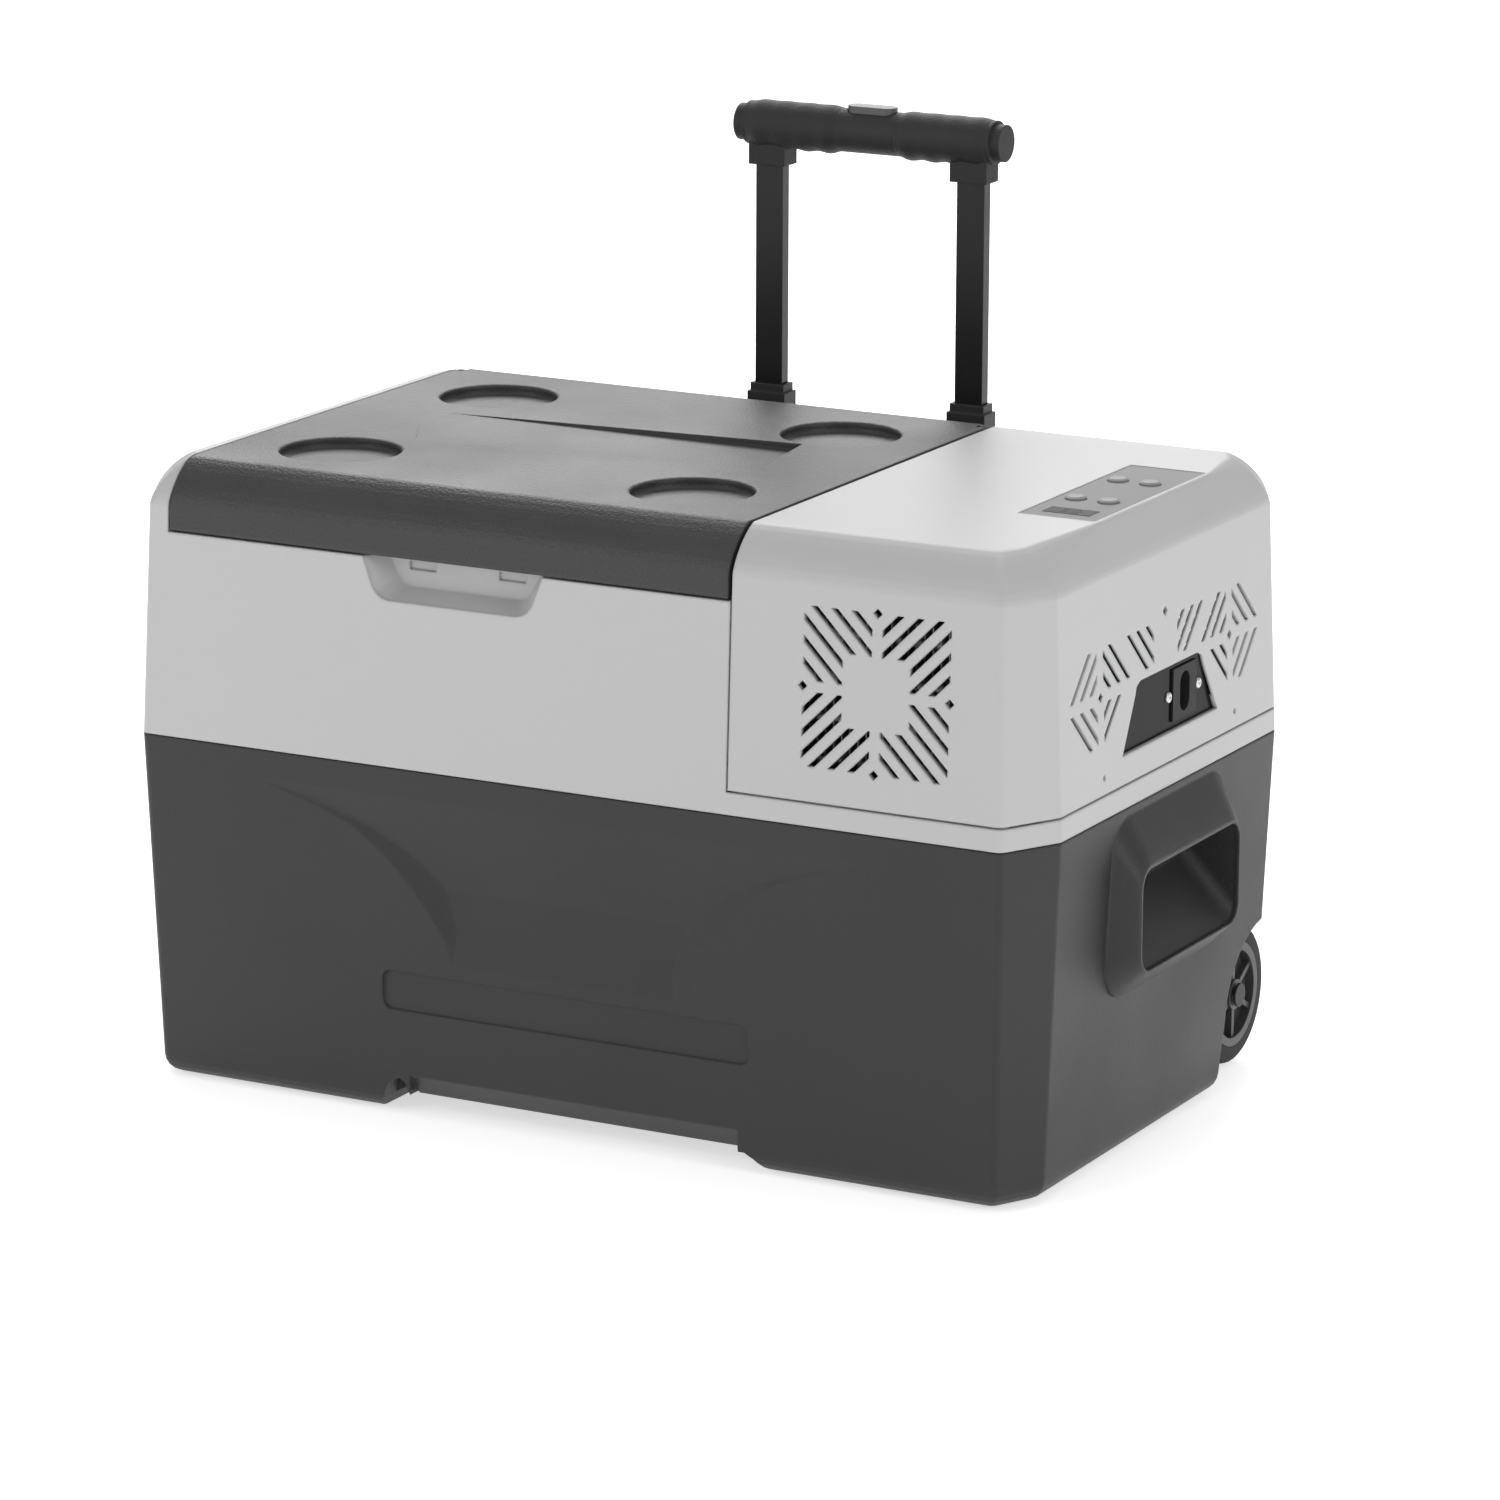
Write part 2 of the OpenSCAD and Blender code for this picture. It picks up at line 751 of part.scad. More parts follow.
module inlet_outline(grow) {
    polygon([
        [-inlet_bottom_half - grow, inlet_z0 - grow], [inlet_bottom_half + grow, inlet_z0 - grow],
        [inlet_top_half + grow, inlet_z1 - 7], [inlet_top_half - 2 + grow, inlet_z1 - 2.5 + grow],
        [inlet_top_half - 7, inlet_z1 + grow], [-inlet_top_half + 7, inlet_z1 + grow],
        [-inlet_top_half + 2 - grow, inlet_z1 - 2.5 + grow], [-inlet_top_half - grow, inlet_z1 - 7]
    ]);
}

// where the four buttons stand on the control panel
function button_at(i) = [
    panel_x - 2 + (i % 2 == 0 ? -button_dx : button_dx),
    panel_y + button_y0 + (i < 2 ? -button_dy : button_dy), 0
];

module display_area(grow) {
    block(
        [panel_x - 14.5 - grow, panel_y - 62 - grow, 360],
        [panel_x + 14.5 + grow, panel_y - 48 + grow, far]
    );
}

module compressor_cover() color("gainsboro") difference() {
    intersection() {
        upper_form(0);
        block([cover_x0, -far, cover_z], [far, far, far]);
    }
    intersection() {
        upper_form(wall);
        block([cover_x0 + wall, -far, 0], [far, far, far]);
    }
    // thinner wall behind the end vents
    intersection() {
        upper_form(1.3);
        block([half_l - 12, end_vent_y - 88, 246], [far, end_vent_y + 88, 306]);
    }
    // front and rear vents
    translate([vent_x, 0, vent_z]) rotate([90, 0, 0])
        translate([0, 0, -far]) linear_extrude(2 * far) vent_square();
    // end vents and the diamond over their middle
    translate([half_l - 30, end_vent_y, end_vent_z]) rotate([90, 0, 90]) linear_extrude(40) {
        end_vent_half();
        mirror([1, 0]) end_vent_half();
        translate([0, 31]) rotate(45) square(4, center = true);
    }
    translate([half_l - 20, 0, 0]) rotate([90, 0, 90]) linear_extrude(30) inlet_outline(0.2);
    // seat and openings for the control panel
    block(
        [panel_x - panel_w / 2 - 0.2, panel_y - panel_l / 2 - 0.2, plate_z - 0.2],
        [panel_x + panel_w / 2 + 0.2, panel_y + panel_l / 2 + 0.2, far]
    );
    for (i = [0:3]) translate(button_at(i)) translate([0, 0, 340]) cylinder(h = 40, r = button_r + 0.6);
    display_area(0.2);
    for (y = [-87, 87]) translate([0, y, 230.4]) bar_x(half_l - 12, half_l + 5, 1.6);
}

module cover_screws() color("gray")
    for (y = [-87, 87]) translate([0, y, 230.4]) {
        bar_x(half_l - 14, half_l - 2.6, 1.5);
    }

module inlet_panel() color([0.06, 0.06, 0.06]) difference() {
    translate([end_face_x - 9, 0, 0]) rotate([90, 0, 90]) linear_extrude(7.4) inlet_outline(0);
    translate([0, socket_y, socket_z]) block([0, -11, -13.5], [far, 11, 13.5]);
    for (y = [-20, 20]) translate([0, socket_y + y, socket_z]) bar_x(half_l - 30, far, 1.7);
}

module mains_inlet() color([0.3, 0.3, 0.3]) difference() {
    translate([0, socket_y, socket_z]) union() {
        block([end_face_x - 25, -10.8, -13.3], [end_face_x - 1.6, 10.8, 13.3]);
        block([end_face_x - 1.6, -15.5, -15], [end_face_x - 0.3, 15.5, 15]);
    }
    translate([0, socket_y, socket_z]) {
        block([end_face_x - 16, -6.4, -6], [far, 6.4, 6]);
        for (z = [-5, 5]) translate([0, 0, z]) bar_x(end_face_x - 16, far, 6.4);
        for (z = [-4.3, 4.3]) translate([0, 0, z]) bar_x(end_face_x - 26, far, 1.2);
    }
}

module inlet_pins() color("silver")
    for (z = [-4.3, 4.3]) translate([0, socket_y, socket_z + z])
        bar_x(end_face_x - 25, end_face_x - 5, 1.2);

module inlet_screws() color("silver")
    for (y = [-20, 20]) translate([0, socket_y + y, socket_z]) {
        bar_x(end_face_x - 8.5, end_face_x - 1.6, 1.6);
        translate([end_face_x - 1.6, 0, 0]) rotate([0, 90, 0]) cylinder(h = 1.2, r1 = 3, r2 = 2.2);
    }

module control_board() color("seagreen") {
    block([panel_x - 21, panel_y - 66, 349], [panel_x + 15, panel_y + 66, 350.6]);
    for (i = [0:3]) translate(button_at(i)) block([-3, -3, 350.6], [3, 3, 356]);
    block([panel_x - 14, panel_y - 61.5, 350.6], [panel_x + 14, panel_y - 48.5, 361.2]);
}

module control_panel() color("darkgray") difference() {
    block(
        [panel_x - panel_w / 2, panel_y - panel_l / 2, plate_z],
        [panel_x + panel_w / 2, panel_y + panel_l / 2, body_h - 0.3]
    );
    for (i = [0:3]) translate(button_at(i)) translate([0, 0, 340]) cylinder(h = 40, r = button_r + 0.35);
    display_area(0.1);
}

module display_window() color([0.05, 0.05, 0.06])
    intersection() {
        display_area(0);
        block([0, -far, 361.5], [far, far, body_h - 0.1]);
    }

// push button with a hidden flange under the cover
module push_button(i) {
    translate(button_at(i)) {
        translate([0, 0, 362.6]) cylinder(h = body_h - 362, r = button_r);
        translate([0, 0, body_h + 0.6]) cylinder(h = 0.8, r1 = button_r, r2 = button_r - 1.4);
        translate([0, 0, 361.4]) cylinder(h = 1.2, r = button_r + 1.4);
        translate([0, 0, 357.2]) cylinder(h = 4.2, r = 2);
    }
}

module button_power() color("lightgray") push_button(0);
module button_mode() color("lightgray") push_button(1);
module button_up() color("lightgray") push_button(2);
module button_down() color("lightgray") push_button(3);

// ---- lid --------------------------------------------------------------------------------

// the four cup places
module at_cups() {
    for (x = [-cup_dx, cup_dx], y = [-cup_dy, cup_dy])
        translate([lid_mid_x + x, cup_mid_y + y, body_h]) children();
}

module lid_outer() color([0.33, 0.34, 0.34]) difference() {
    union() {
        intersection() {
            upper_form(0);
            block([lid_x0, -far, lid_z], [lid_x1, lid_rear_y, far]);
        }
        translate([0, hinge_y, hinge_z]) bar_x(lid_x0, lid_x1, barrel_r);
    }
    difference() {
        intersection() {
            upper_form(wall);
            block([lid_x0 + wall, -far, 0], [lid_x1 - wall, lid_rear_y - wall, far]);
        }
        at_cups() translate([0, 0, -cup_depth - cup_floor_t])
            cylinder(h = 30, r = cup_r + 3);
        block([-196, -48, body_h - band_depth - cup_floor_t], [52, 52, far]);
        translate([0, hinge_y, hinge_z]) bar_x(lid_x0, lid_x1, barrel_r);
    }
    at_cups() rotate_extrude() polygon([
        [0, -cup_depth], [cup_r - 2, -cup_depth], [cup_r - 0.6, -cup_depth + 0.6],
        [cup_r, -cup_depth + 2], [cup_r, -1.4], [cup_r + 0.5, -0.5], [cup_r + 1.6, 0], [0, 0.1]
    ]);
    // long sloping band between the cups
    intersection() {
        linear_extrude(far) polygon([
            [-192, 28], [33, 49], [38, 15], [45, -18], [-54, -36], [-170, -45], [-189, -10]
        ]);
        prism_y(-60, 60, [
            [-194, body_h + 0.1], [-190, body_h], [33, body_h - band_depth], [46, body_h + 0.1]
        ]);
    }
    // room for the hinge ears, and the pin bores
    for (x = [[-far, lid_x0 + ear_w + 0.5], [lid_x1 - ear_w - 0.5, far]])
        block([x[0], hinge_y - 9, hinge_z - 9], [x[1], far, far]);
    for (x = [[lid_x0, lid_x0 + 32], [lid_x1 - 32, lid_x1]])
        translate([0, hinge_y, hinge_z]) bar_x(x[0], x[1], hinge_pin_r + fit);
}

module lid_inner() color("gainsboro") {
    block([lid_x0 + wall + 0.2, -169.8, 331.5], [lid_x1 - wall - 0.2, 147, 333.5]);
    round_box(
        [tub_x - tub_l / 2 + 6, tub_y - tub_d / 2 + 6, 321],
        [tub_x + tub_l / 2 - 6, tub_y + tub_d / 2 - 6, 331.5],
        tub_r
    );
}

module lid_foam() color("khaki")
    block([lid_x0 + wall + 2, -154, 333.8], [lid_x1 - wall - 2, 142, 356.5]);

module lid_gasket() color([0.2, 0.2, 0.2]) difference() {
    round_box(
        [tub_x - tub_l / 2 - 8, tub_y - tub_d / 2 - 8, tub_top + 0.3],
        [tub_x + tub_l / 2 + 8, tub_y + tub_d / 2 + 8, 331.5],
        tub_r + 8
    );
    round_box(
        [tub_x - tub_l / 2 - 1, tub_y - tub_d / 2 - 1, tub_top],
        [tub_x + tub_l / 2 + 1, tub_y + tub_d / 2 + 1, 332],
        tub_r + 1
    );
}

// fixed rear rail that carries the lid hinge
module hinge_cowl() color([0.33, 0.34, 0.34]) difference() {
    union() {
        difference() {
            intersection() {
                upper_form(0);
                block([lid_x0, hinge_y + 0.6, deck_z + 0.2], [lid_x1, far, far]);
            }
            intersection() {
                upper_form(wall);
                block(
                    [lid_x0 + wall, hinge_y + 0.6 + wall, 0],
                    [lid_x1 - wall, far, hinge_z - barrel_clear_r - wall + 1]
                );
            }
            translate([0, hinge_y, hinge_z])
                bar_x(lid_x0 - 1, lid_x1 + 1, barrel_clear_r);
            block([lid_x0 - 1, 0, hinge_z + 3.5], [lid_x1 + 1, hinge_y + 7.4, far]);
        }
        for (x = [[lid_x0, lid_x0 + ear_w], [lid_x1 - ear_w, lid_x1]])
            intersection() {
                union() {
                    translate([0, hinge_y, hinge_z]) bar_x(x[0], x[1], barrel_r);
                    block([x[0], hinge_y, hinge_z - 6], [x[1], hinge_y + 9, hinge_z + 4]);
                }
                upper_form(0.01);
            }
    }
    translate([0, hinge_y, hinge_z]) bar_x(-far, far, hinge_pin_r);
}

module hinge_pins() color("silver") {
    for (x = [[lid_x0 + 0.5, lid_x0 + 31], [lid_x1 - 31, lid_x1 - 0.5]])
        translate([0, hinge_y, hinge_z]) bar_x(x[0], x[1], hinge_pin_r);
}

// ---- trolley ----------------------------------------------------------------------------

// upright bar round the middle of a pole, grown on each side
module pole_block(side, grow, z0, z1) {
    block(
        [side * pole_x - pole_w / 2 - grow, pole_y - grow, z0],
        [side * pole_x + pole_w / 2 + grow, pole_y + pole_t + grow, z1]
    );
}

module trolley_tubes() color([0.08, 0.08, 0.08])
    for (s = [-1, 1]) difference() {
        pole_block(s, slide_gap + tube_wall, tube_z0, tube_z1);
        pole_block(s, slide_gap, tube_z0 + 2, far);
    }

module tube_collars() color([0.06, 0.06, 0.06])
    for (s = [-1, 1]) difference() {
        union() {
            pole_block(s, slide_gap + tube_wall, tube_z1, collar_z);
            pole_block(s, slide_gap + tube_wall + 1.4, tube_z1 + 3, collar_z - 5);
        }
        pole_block(s, slide_gap, tube_z1 - 1, far);
    }

module trolley_brackets() color([0.1, 0.1, 0.1])
    for (z = [[300, 330], [80, 112]]) difference() {
        union() {
            block([-96, half_d - 1, z[0]], [96, half_d + 5, z[1]]);
            for (s = [-1, 1])
                block(
                    [s * pole_x - 17, half_d + 5, z[0]],
                    [s * pole_x + 17, pole_y + pole_t + 6, z[1]]
                );
        }
        for (s = [-1, 1]) {
            pole_block(s, slide_gap + tube_wall, z[0] - 1, z[1] + 1);
            for (x = [-24, 24])
                translate([s * pole_x + x, 0, (z[0] + z[1]) / 2]) bar_y(half_d - 10, half_d + 20, 2);
        }
    }

module bracket_screws() color("gray")
    for (s = [-1, 1], x = [-24, 24], z = [315, 96]) translate([s * pole_x + x, 0, z]) {
        bar_y(half_d - 0.9, half_d + 5, 2);
        bar_y(half_d + 5, half_d + 8, 4);
    }

module handle_pole(side) pole_block(side, 0, grip_z - pole_length, grip_z);
module handle_pole_left() color([0.05, 0.05, 0.05]) handle_pole(-1);
module handle_pole_right() color([0.05, 0.05, 0.05]) handle_pole(1);

module handle_grip() color([0.07, 0.07, 0.07]) difference() {
    mid_y = pole_y + pole_t / 2;
    union() {
        // two upright ends with a round bar between them
        for (s = [-1, 1])
            block([s * pole_x - 12, mid_y - 8, grip_z], [s * pole_x + 12, mid_y + 8, grip_z + 16]);
        translate([0, mid_y, grip_z + handle_grip_h - 14]) {
            bar_x(-handle_grip_half + 6, handle_grip_half - 6, 13);
            for (s = [-1, 1]) translate([s * (handle_grip_half - 6), 0, 0]) bar_x(-6, 6, 11);
        }
    }
    translate([0, mid_y, 0]) round_box([-16, -6.5, grip_z + 24], [16, 6.5, grip_z + 60], 6);
}

module handle_release_button() color([0.25, 0.25, 0.25])
    translate([0, pole_y + pole_t / 2, 0])
        round_box([-15.6, -6.1, grip_z + 30], [15.6, 6.1, grip_z + 39.5], 5.7);

// ---- wheels -----------------------------------------------------------------------------

module wheel_guards() color([0.07, 0.07, 0.07]) both_ends()
    translate([wheel_x0 - 4.8, wheel_y, wheel_z]) rotate([0, 90, 0]) {
        difference() {
            cylinder(h = 3, r = 28);
            translate([0, 0, -1]) cylinder(h = 5, r = axle_r);
        }
        difference() {
            cylinder(h = 28, r = arch_r - 0.3);
            translate([0, 0, -1]) cylinder(h = 30, r = arch_r - 2.8);
            // open below and behind the wheel
            translate([0, 0, -1]) linear_extrude(32)
                polygon([[0, 0], [-80, 14], [-80, 90], [90, 90], [90, -60], [45, -60]]);
        }
        for (a = [180, 225]) rotate([0, 0, a]) block([26, -7, 0], [arch_r - 1, 7, 3]);
    }

module wheel_axles() color("silver") both_ends()
    translate([0, wheel_y, wheel_z]) bar_x(wheel_x0 - 10, wheel_x0 + wheel_w + 1.5, axle_r);

module axle_caps() color([0.1, 0.1, 0.1]) both_ends()
    translate([0, wheel_y, wheel_z]) bar_x(wheel_x0 + wheel_w + 1.5, wheel_x0 + wheel_w + 3, 7);

module tyre() {
    translate([wheel_x0, wheel_y, wheel_z]) rotate([0, 90, 0]) rotate_extrude($fn = 96) polygon([
        [rim_r, 0.5], [wheel_r - 3, 0.5], [wheel_r - 1, 2.5], [wheel_r, 6],
        [wheel_r, wheel_w - 6], [wheel_r - 1, wheel_w - 2.5], [wheel_r - 3, wheel_w - 0.5],
        [rim_r, wheel_w - 0.5]
    ]);
}

module wheel_hub() {
    translate([wheel_x0, wheel_y, wheel_z]) rotate([0, 90, 0]) difference() {
        union() {
            difference() {
                cylinder(h = wheel_w, r = rim_r, $fn = 96);
                translate([0, 0, wheel_w - 6]) cylinder(h = 10, r = rim_r - 5);
                translate([0, 0, -4]) cylinder(h = 10, r = rim_r - 5);
            }
            cylinder(h = wheel_w, r = 9);
            for (a = [0:60:300]) rotate([0, 0, a]) block([6, -1.6, 1.5], [rim_r - 3, 1.6, wheel_w - 1.5]);
        }
        translate([0, 0, -1]) cylinder(h = wheel_w + 2, r = axle_r + fit);
    }
}

module left_tyre() color([0.06, 0.06, 0.06]) mirror([1, 0, 0]) tyre();
module right_tyre() color([0.06, 0.06, 0.06]) tyre();
module left_wheel_hub() color([0.2, 0.2, 0.2]) mirror([1, 0, 0]) wheel_hub();
module right_wheel_hub() color([0.2, 0.2, 0.2]) wheel_hub();

// ---- output -----------------------------------------------------------------------------

base_shell();
upper_shell();
compressor_cover();
hinge_cowl();
tub_liner();
tub_insulation();
evaporator_coil();
interior_lamp();
bay_partition();
bay_chassis();
compressor();
compressor_grommets();
compressor_bolts();
condenser();
fan_shroud();
fan_rotor();
filter_drier();
refrigerant_lines();
mains_converter();
control_board();
control_panel();
display_window();
button_power();
button_mode();
button_up();
button_down();
inlet_panel();
mains_inlet();
inlet_pins();
inlet_screws();
cover_screws();
lid_outer();
lid_inner();
lid_foam();
lid_gasket();
hinge_pins();
trolley_tubes();
tube_collars();
trolley_brackets();
bracket_screws();
handle_pole_left();
handle_pole_right();
handle_grip();
handle_release_button();
wheel_guards();
wheel_axles();
axle_caps();
left_tyre();
left_wheel_hub();
right_tyre();
right_wheel_hub();
foot_pads();
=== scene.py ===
"""Finishes, soft pieces, light and camera for the wheeled compressor cooler."""

import json
import logging
import math
from collections.abc import Callable, Sequence
from dataclasses import dataclass, field
from enum import Enum

import bmesh
import bpy
from mathutils import Matrix, Vector


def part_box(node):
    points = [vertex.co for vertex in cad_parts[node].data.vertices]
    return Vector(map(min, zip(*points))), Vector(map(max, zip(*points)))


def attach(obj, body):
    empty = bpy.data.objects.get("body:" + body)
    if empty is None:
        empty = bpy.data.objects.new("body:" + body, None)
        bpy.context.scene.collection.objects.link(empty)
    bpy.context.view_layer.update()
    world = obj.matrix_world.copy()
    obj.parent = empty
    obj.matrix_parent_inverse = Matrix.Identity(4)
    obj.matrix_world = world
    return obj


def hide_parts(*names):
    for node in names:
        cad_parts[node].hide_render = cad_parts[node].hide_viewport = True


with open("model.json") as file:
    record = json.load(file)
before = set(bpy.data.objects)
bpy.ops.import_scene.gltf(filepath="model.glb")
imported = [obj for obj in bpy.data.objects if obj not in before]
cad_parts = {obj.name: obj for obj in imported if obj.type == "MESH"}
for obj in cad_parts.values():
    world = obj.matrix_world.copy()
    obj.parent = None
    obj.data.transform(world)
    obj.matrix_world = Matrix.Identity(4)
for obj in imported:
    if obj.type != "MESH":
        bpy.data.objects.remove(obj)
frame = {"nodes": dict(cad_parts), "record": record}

LOG = logging.getLogger("cooler")
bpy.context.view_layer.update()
MM = 0.001
RGB = tuple[float, float, float]
Ring = list[Vector]


class Grain(Enum):
    """How the surface of a moulded or painted piece is textured."""

    SPARK = "fine spark-eroded texture"
    LEATHER = "pebbled leather-like texture"
    SATIN = "almost smooth satin"
    POLISHED = "polished"


# ---------------------------------------------------------------------------------------
# Shared node groups
# ---------------------------------------------------------------------------------------


@dataclass(frozen=True)
class Knob:
    """One input of a shared node group."""

    name: str
    value: float | tuple[float, ...]

    def add_to(self, group: bpy.types.NodeTree) -> None:
        """Adds the socket to the group's interface."""
        kind = "NodeSocketFloat" if isinstance(self.value, float) else "NodeSocketColor"
        socket = group.interface.new_socket(self.name, in_out="INPUT", socket_type=kind)
        socket.default_value = self.value


class EffectLibrary:
    """Builds each shared effect once and hands it to every finish that wants it."""

    def __init__(self) -> None:
        """Starts with no effect built."""
        self.groups: dict[str, bpy.types.NodeTree] = {}

    def _start(
        self, name: str, knobs: Sequence[Knob], outputs: Sequence[tuple[str, str]]
    ) -> tuple[bpy.types.NodeTree, bpy.types.Node, bpy.types.Node]:
        """Makes an empty group with its interface.

        Args:
            name: name of the effect.
            knobs: its inputs.
            outputs: name and socket type of each output.

        Returns:
            The group, its input node and its output node.
        """
        group = bpy.data.node_groups.new(name, "ShaderNodeTree")
        for knob in knobs:
            knob.add_to(group)
        for label, kind in outputs:
            group.interface.new_socket(label, in_out="OUTPUT", socket_type=kind)
        self.groups[name] = group
        return group, group.nodes.new("NodeGroupInput"), group.nodes.new("NodeGroupOutput")

    @staticmethod
    def _noise(
        group: bpy.types.NodeTree, scale: bpy.types.NodeSocket | float, detail: float
    ) -> bpy.types.NodeSocket:
        """Adds noise in the piece's own coordinates.

        Args:
            group: the group that gets the nodes.
            scale: a socket or a number, in cycles per metre.
            detail: octaves of the noise.

        Returns:
            The factor output of the noise.
        """
        place = group.nodes.new("ShaderNodeTexCoord")
        noise = group.nodes.new("ShaderNodeTexNoise")
        noise.inputs["Detail"].default_value = detail
        group.links.new(place.outputs["Object"], noise.inputs["Vector"])
        if isinstance(scale, float):
            noise.inputs["Scale"].default_value = scale
        else:
            group.links.new(scale, noise.inputs["Scale"])
        return noise.outputs["Fac"]

    @staticmethod
    def _math(
        group: bpy.types.NodeTree,
        operation: str,
        first: bpy.types.NodeSocket | float,
        second: bpy.types.NodeSocket | float = 0.0,
    ) -> bpy.types.NodeSocket:
        """Adds one sum and returns its result.

        Args:
            group: the group that gets the node.
            operation: Blender's name of the sum.
            first: a socket or a number.
            second: a socket or a number.

        Returns:
            The value output.
        """
        node = group.nodes.new("ShaderNodeMath")
        node.operation = operation
        for index, value in enumerate((first, second)):
            if isinstance(value, float):
                node.inputs[index].default_value = value
            else:
                group.links.new(value, node.inputs[index])
        return node.outputs[0]

    def grain(self) -> bpy.types.NodeTree:
        """Height of a moulded texture: fine noise mixed with rounded pebbles.

        Returns:
            The group, with outputs Height and Pits.
        """
        if "Moulded grain" in self.groups:
            return self.groups["Moulded grain"]
        knobs = [Knob("Scale", 900.0), Knob("Pebbles", 0.5)]
        outs = [("Height", "NodeSocketFloat"), ("Pits", "NodeSocketFloat")]
        group, ins, out = self._start("Moulded grain", knobs, outs)
        place = group.nodes.new("ShaderNodeTexCoord")
        cells = group.nodes.new("ShaderNodeTexVoronoi")
        cells.feature = "SMOOTH_F1"
        cells.inputs["Smoothness"].default_value = 0.6
        group.links.new(place.outputs["Object"], cells.inputs["Vector"])
        group.links.new(ins.outputs["Scale"], cells.inputs["Scale"])
        fine = self._noise(group, self._math(group, "MULTIPLY", ins.outputs["Scale"], 1.7), 3.0)
        pebble = self._math(group, "SUBTRACT", 1.0, cells.outputs["Distance"])
        weighted = self._math(group, "MULTIPLY", pebble, ins.outputs["Pebbles"])
        rest = self._math(group, "SUBTRACT", 1.0, ins.outputs["Pebbles"])
        height = self._math(group, "ADD", weighted, self._math(group, "MULTIPLY", fine, rest))
        group.links.new(height, out.inputs["Height"])
        pits = self._math(group, "SUBTRACT", 0.62, height)
        pits.node.use_clamp = True
        group.links.new(pits, out.inputs["Pits"])
        return group

    def mottle(self) -> bpy.types.NodeTree:
        """Uneven colour of pigmented plastic, at two sizes.

        Returns:
            The group, with outputs Color and Cloud.
        """
        if "Pigment mottle" in self.groups:
            return self.groups["Pigment mottle"]
        knobs = [Knob("Color", (0.5, 0.5, 0.5, 1.0)), Knob("Amount", 0.06), Knob("Scale", 9.0)]
        outs = [("Color", "NodeSocketColor"), ("Cloud", "NodeSocketFloat")]
        group, ins, out = self._start("Pigment mottle", knobs, outs)
        cloud = self._noise(group, ins.outputs["Scale"], 5.0)
        speck = self._noise(group, 1400.0, 2.0)
        both = self._math(
            group, "ADD", self._math(group, "MULTIPLY", cloud, 0.7), self._math(group, "MULTIPLY", speck, 0.3)
        )
        swing = self._math(group, "MULTIPLY", self._math(group, "SUBTRACT", both, 0.5), 2.0)
        gain = self._math(group, "ADD", 1.0, self._math(group, "MULTIPLY", swing, ins.outputs["Amount"]))
        scale = group.nodes.new("ShaderNodeVectorMath")
        scale.operation = "SCALE"
        group.links.new(ins.outputs["Color"], scale.inputs[0])
        group.links.new(gain, scale.inputs["Scale"])
        group.links.new(scale.outputs[0], out.inputs["Color"])
        group.links.new(cloud, out.inputs["Cloud"])
        return group

    def soft_edge(self) -> bpy.types.NodeTree:
        """Rounds hard edges in the light and finds them for wear.

        Returns:
            The group, with outputs Normal and Edge.
        """
        if "Soft edge" in self.groups:
            return self.groups["Soft edge"]
        outs = [("Normal", "NodeSocketVector"), ("Edge", "NodeSocketFloat")]
        group, ins, out = self._start("Soft edge", [Knob("Radius", 0.0012)], outs)
        bevel = group.nodes.new("ShaderNodeBevel")
        bevel.samples = 5
        group.links.new(ins.outputs["Radius"], bevel.inputs["Radius"])
        flat = group.nodes.new("ShaderNodeNewGeometry")
        dot = group.nodes.new("ShaderNodeVectorMath")
        dot.operation = "DOT_PRODUCT"
        group.links.new(bevel.outputs["Normal"], dot.inputs[0])
        group.links.new(flat.outputs["Normal"], dot.inputs[1])
        edge = group.nodes.new("ShaderNodeMapRange")
        edge.inputs["From Min"].default_value = 0.995
        edge.inputs["From Max"].default_value = 0.90
        group.links.new(dot.outputs["Value"], edge.inputs["Value"])
        broken = self._math(group, "GREATER_THAN", self._noise(group, 120.0, 4.0), 0.5)
        group.links.new(bevel.outputs["Normal"], out.inputs["Normal"])
        patchy = self._math(group, "ADD", 0.55, self._math(group, "MULTIPLY", broken, 0.45))
        worn = self._math(group, "MULTIPLY", edge.outputs["Result"], patchy)
        group.links.new(worn, out.inputs["Edge"])
        return group

    def dust(self) -> bpy.types.NodeTree:
        """Thin dust that settles on faces turned up.

        Returns:
            The group, with output Mask.
        """
        if "Settled dust" in self.groups:
            return self.groups["Settled dust"]
        group, ins, out = self._start(
            "Settled dust", [Knob("Amount", 0.1)], [("Mask", "NodeSocketFloat")]
        )
        facing = group.nodes.new("ShaderNodeNewGeometry")
        split = group.nodes.new("ShaderNodeSeparateXYZ")
        group.links.new(facing.outputs["Normal"], split.inputs[0])
        up = self._math(group, "MAXIMUM", split.outputs["Z"], 0.0)
        patch = self._noise(group, 26.0, 6.0)
        mask = self._math(group, "MULTIPLY", self._math(group, "MULTIPLY", up, patch), ins.outputs["Amount"])
        group.links.new(mask, out.inputs["Mask"])
        return group


EFFECTS = EffectLibrary()


# ---------------------------------------------------------------------------------------
# Finishes
# ---------------------------------------------------------------------------------------


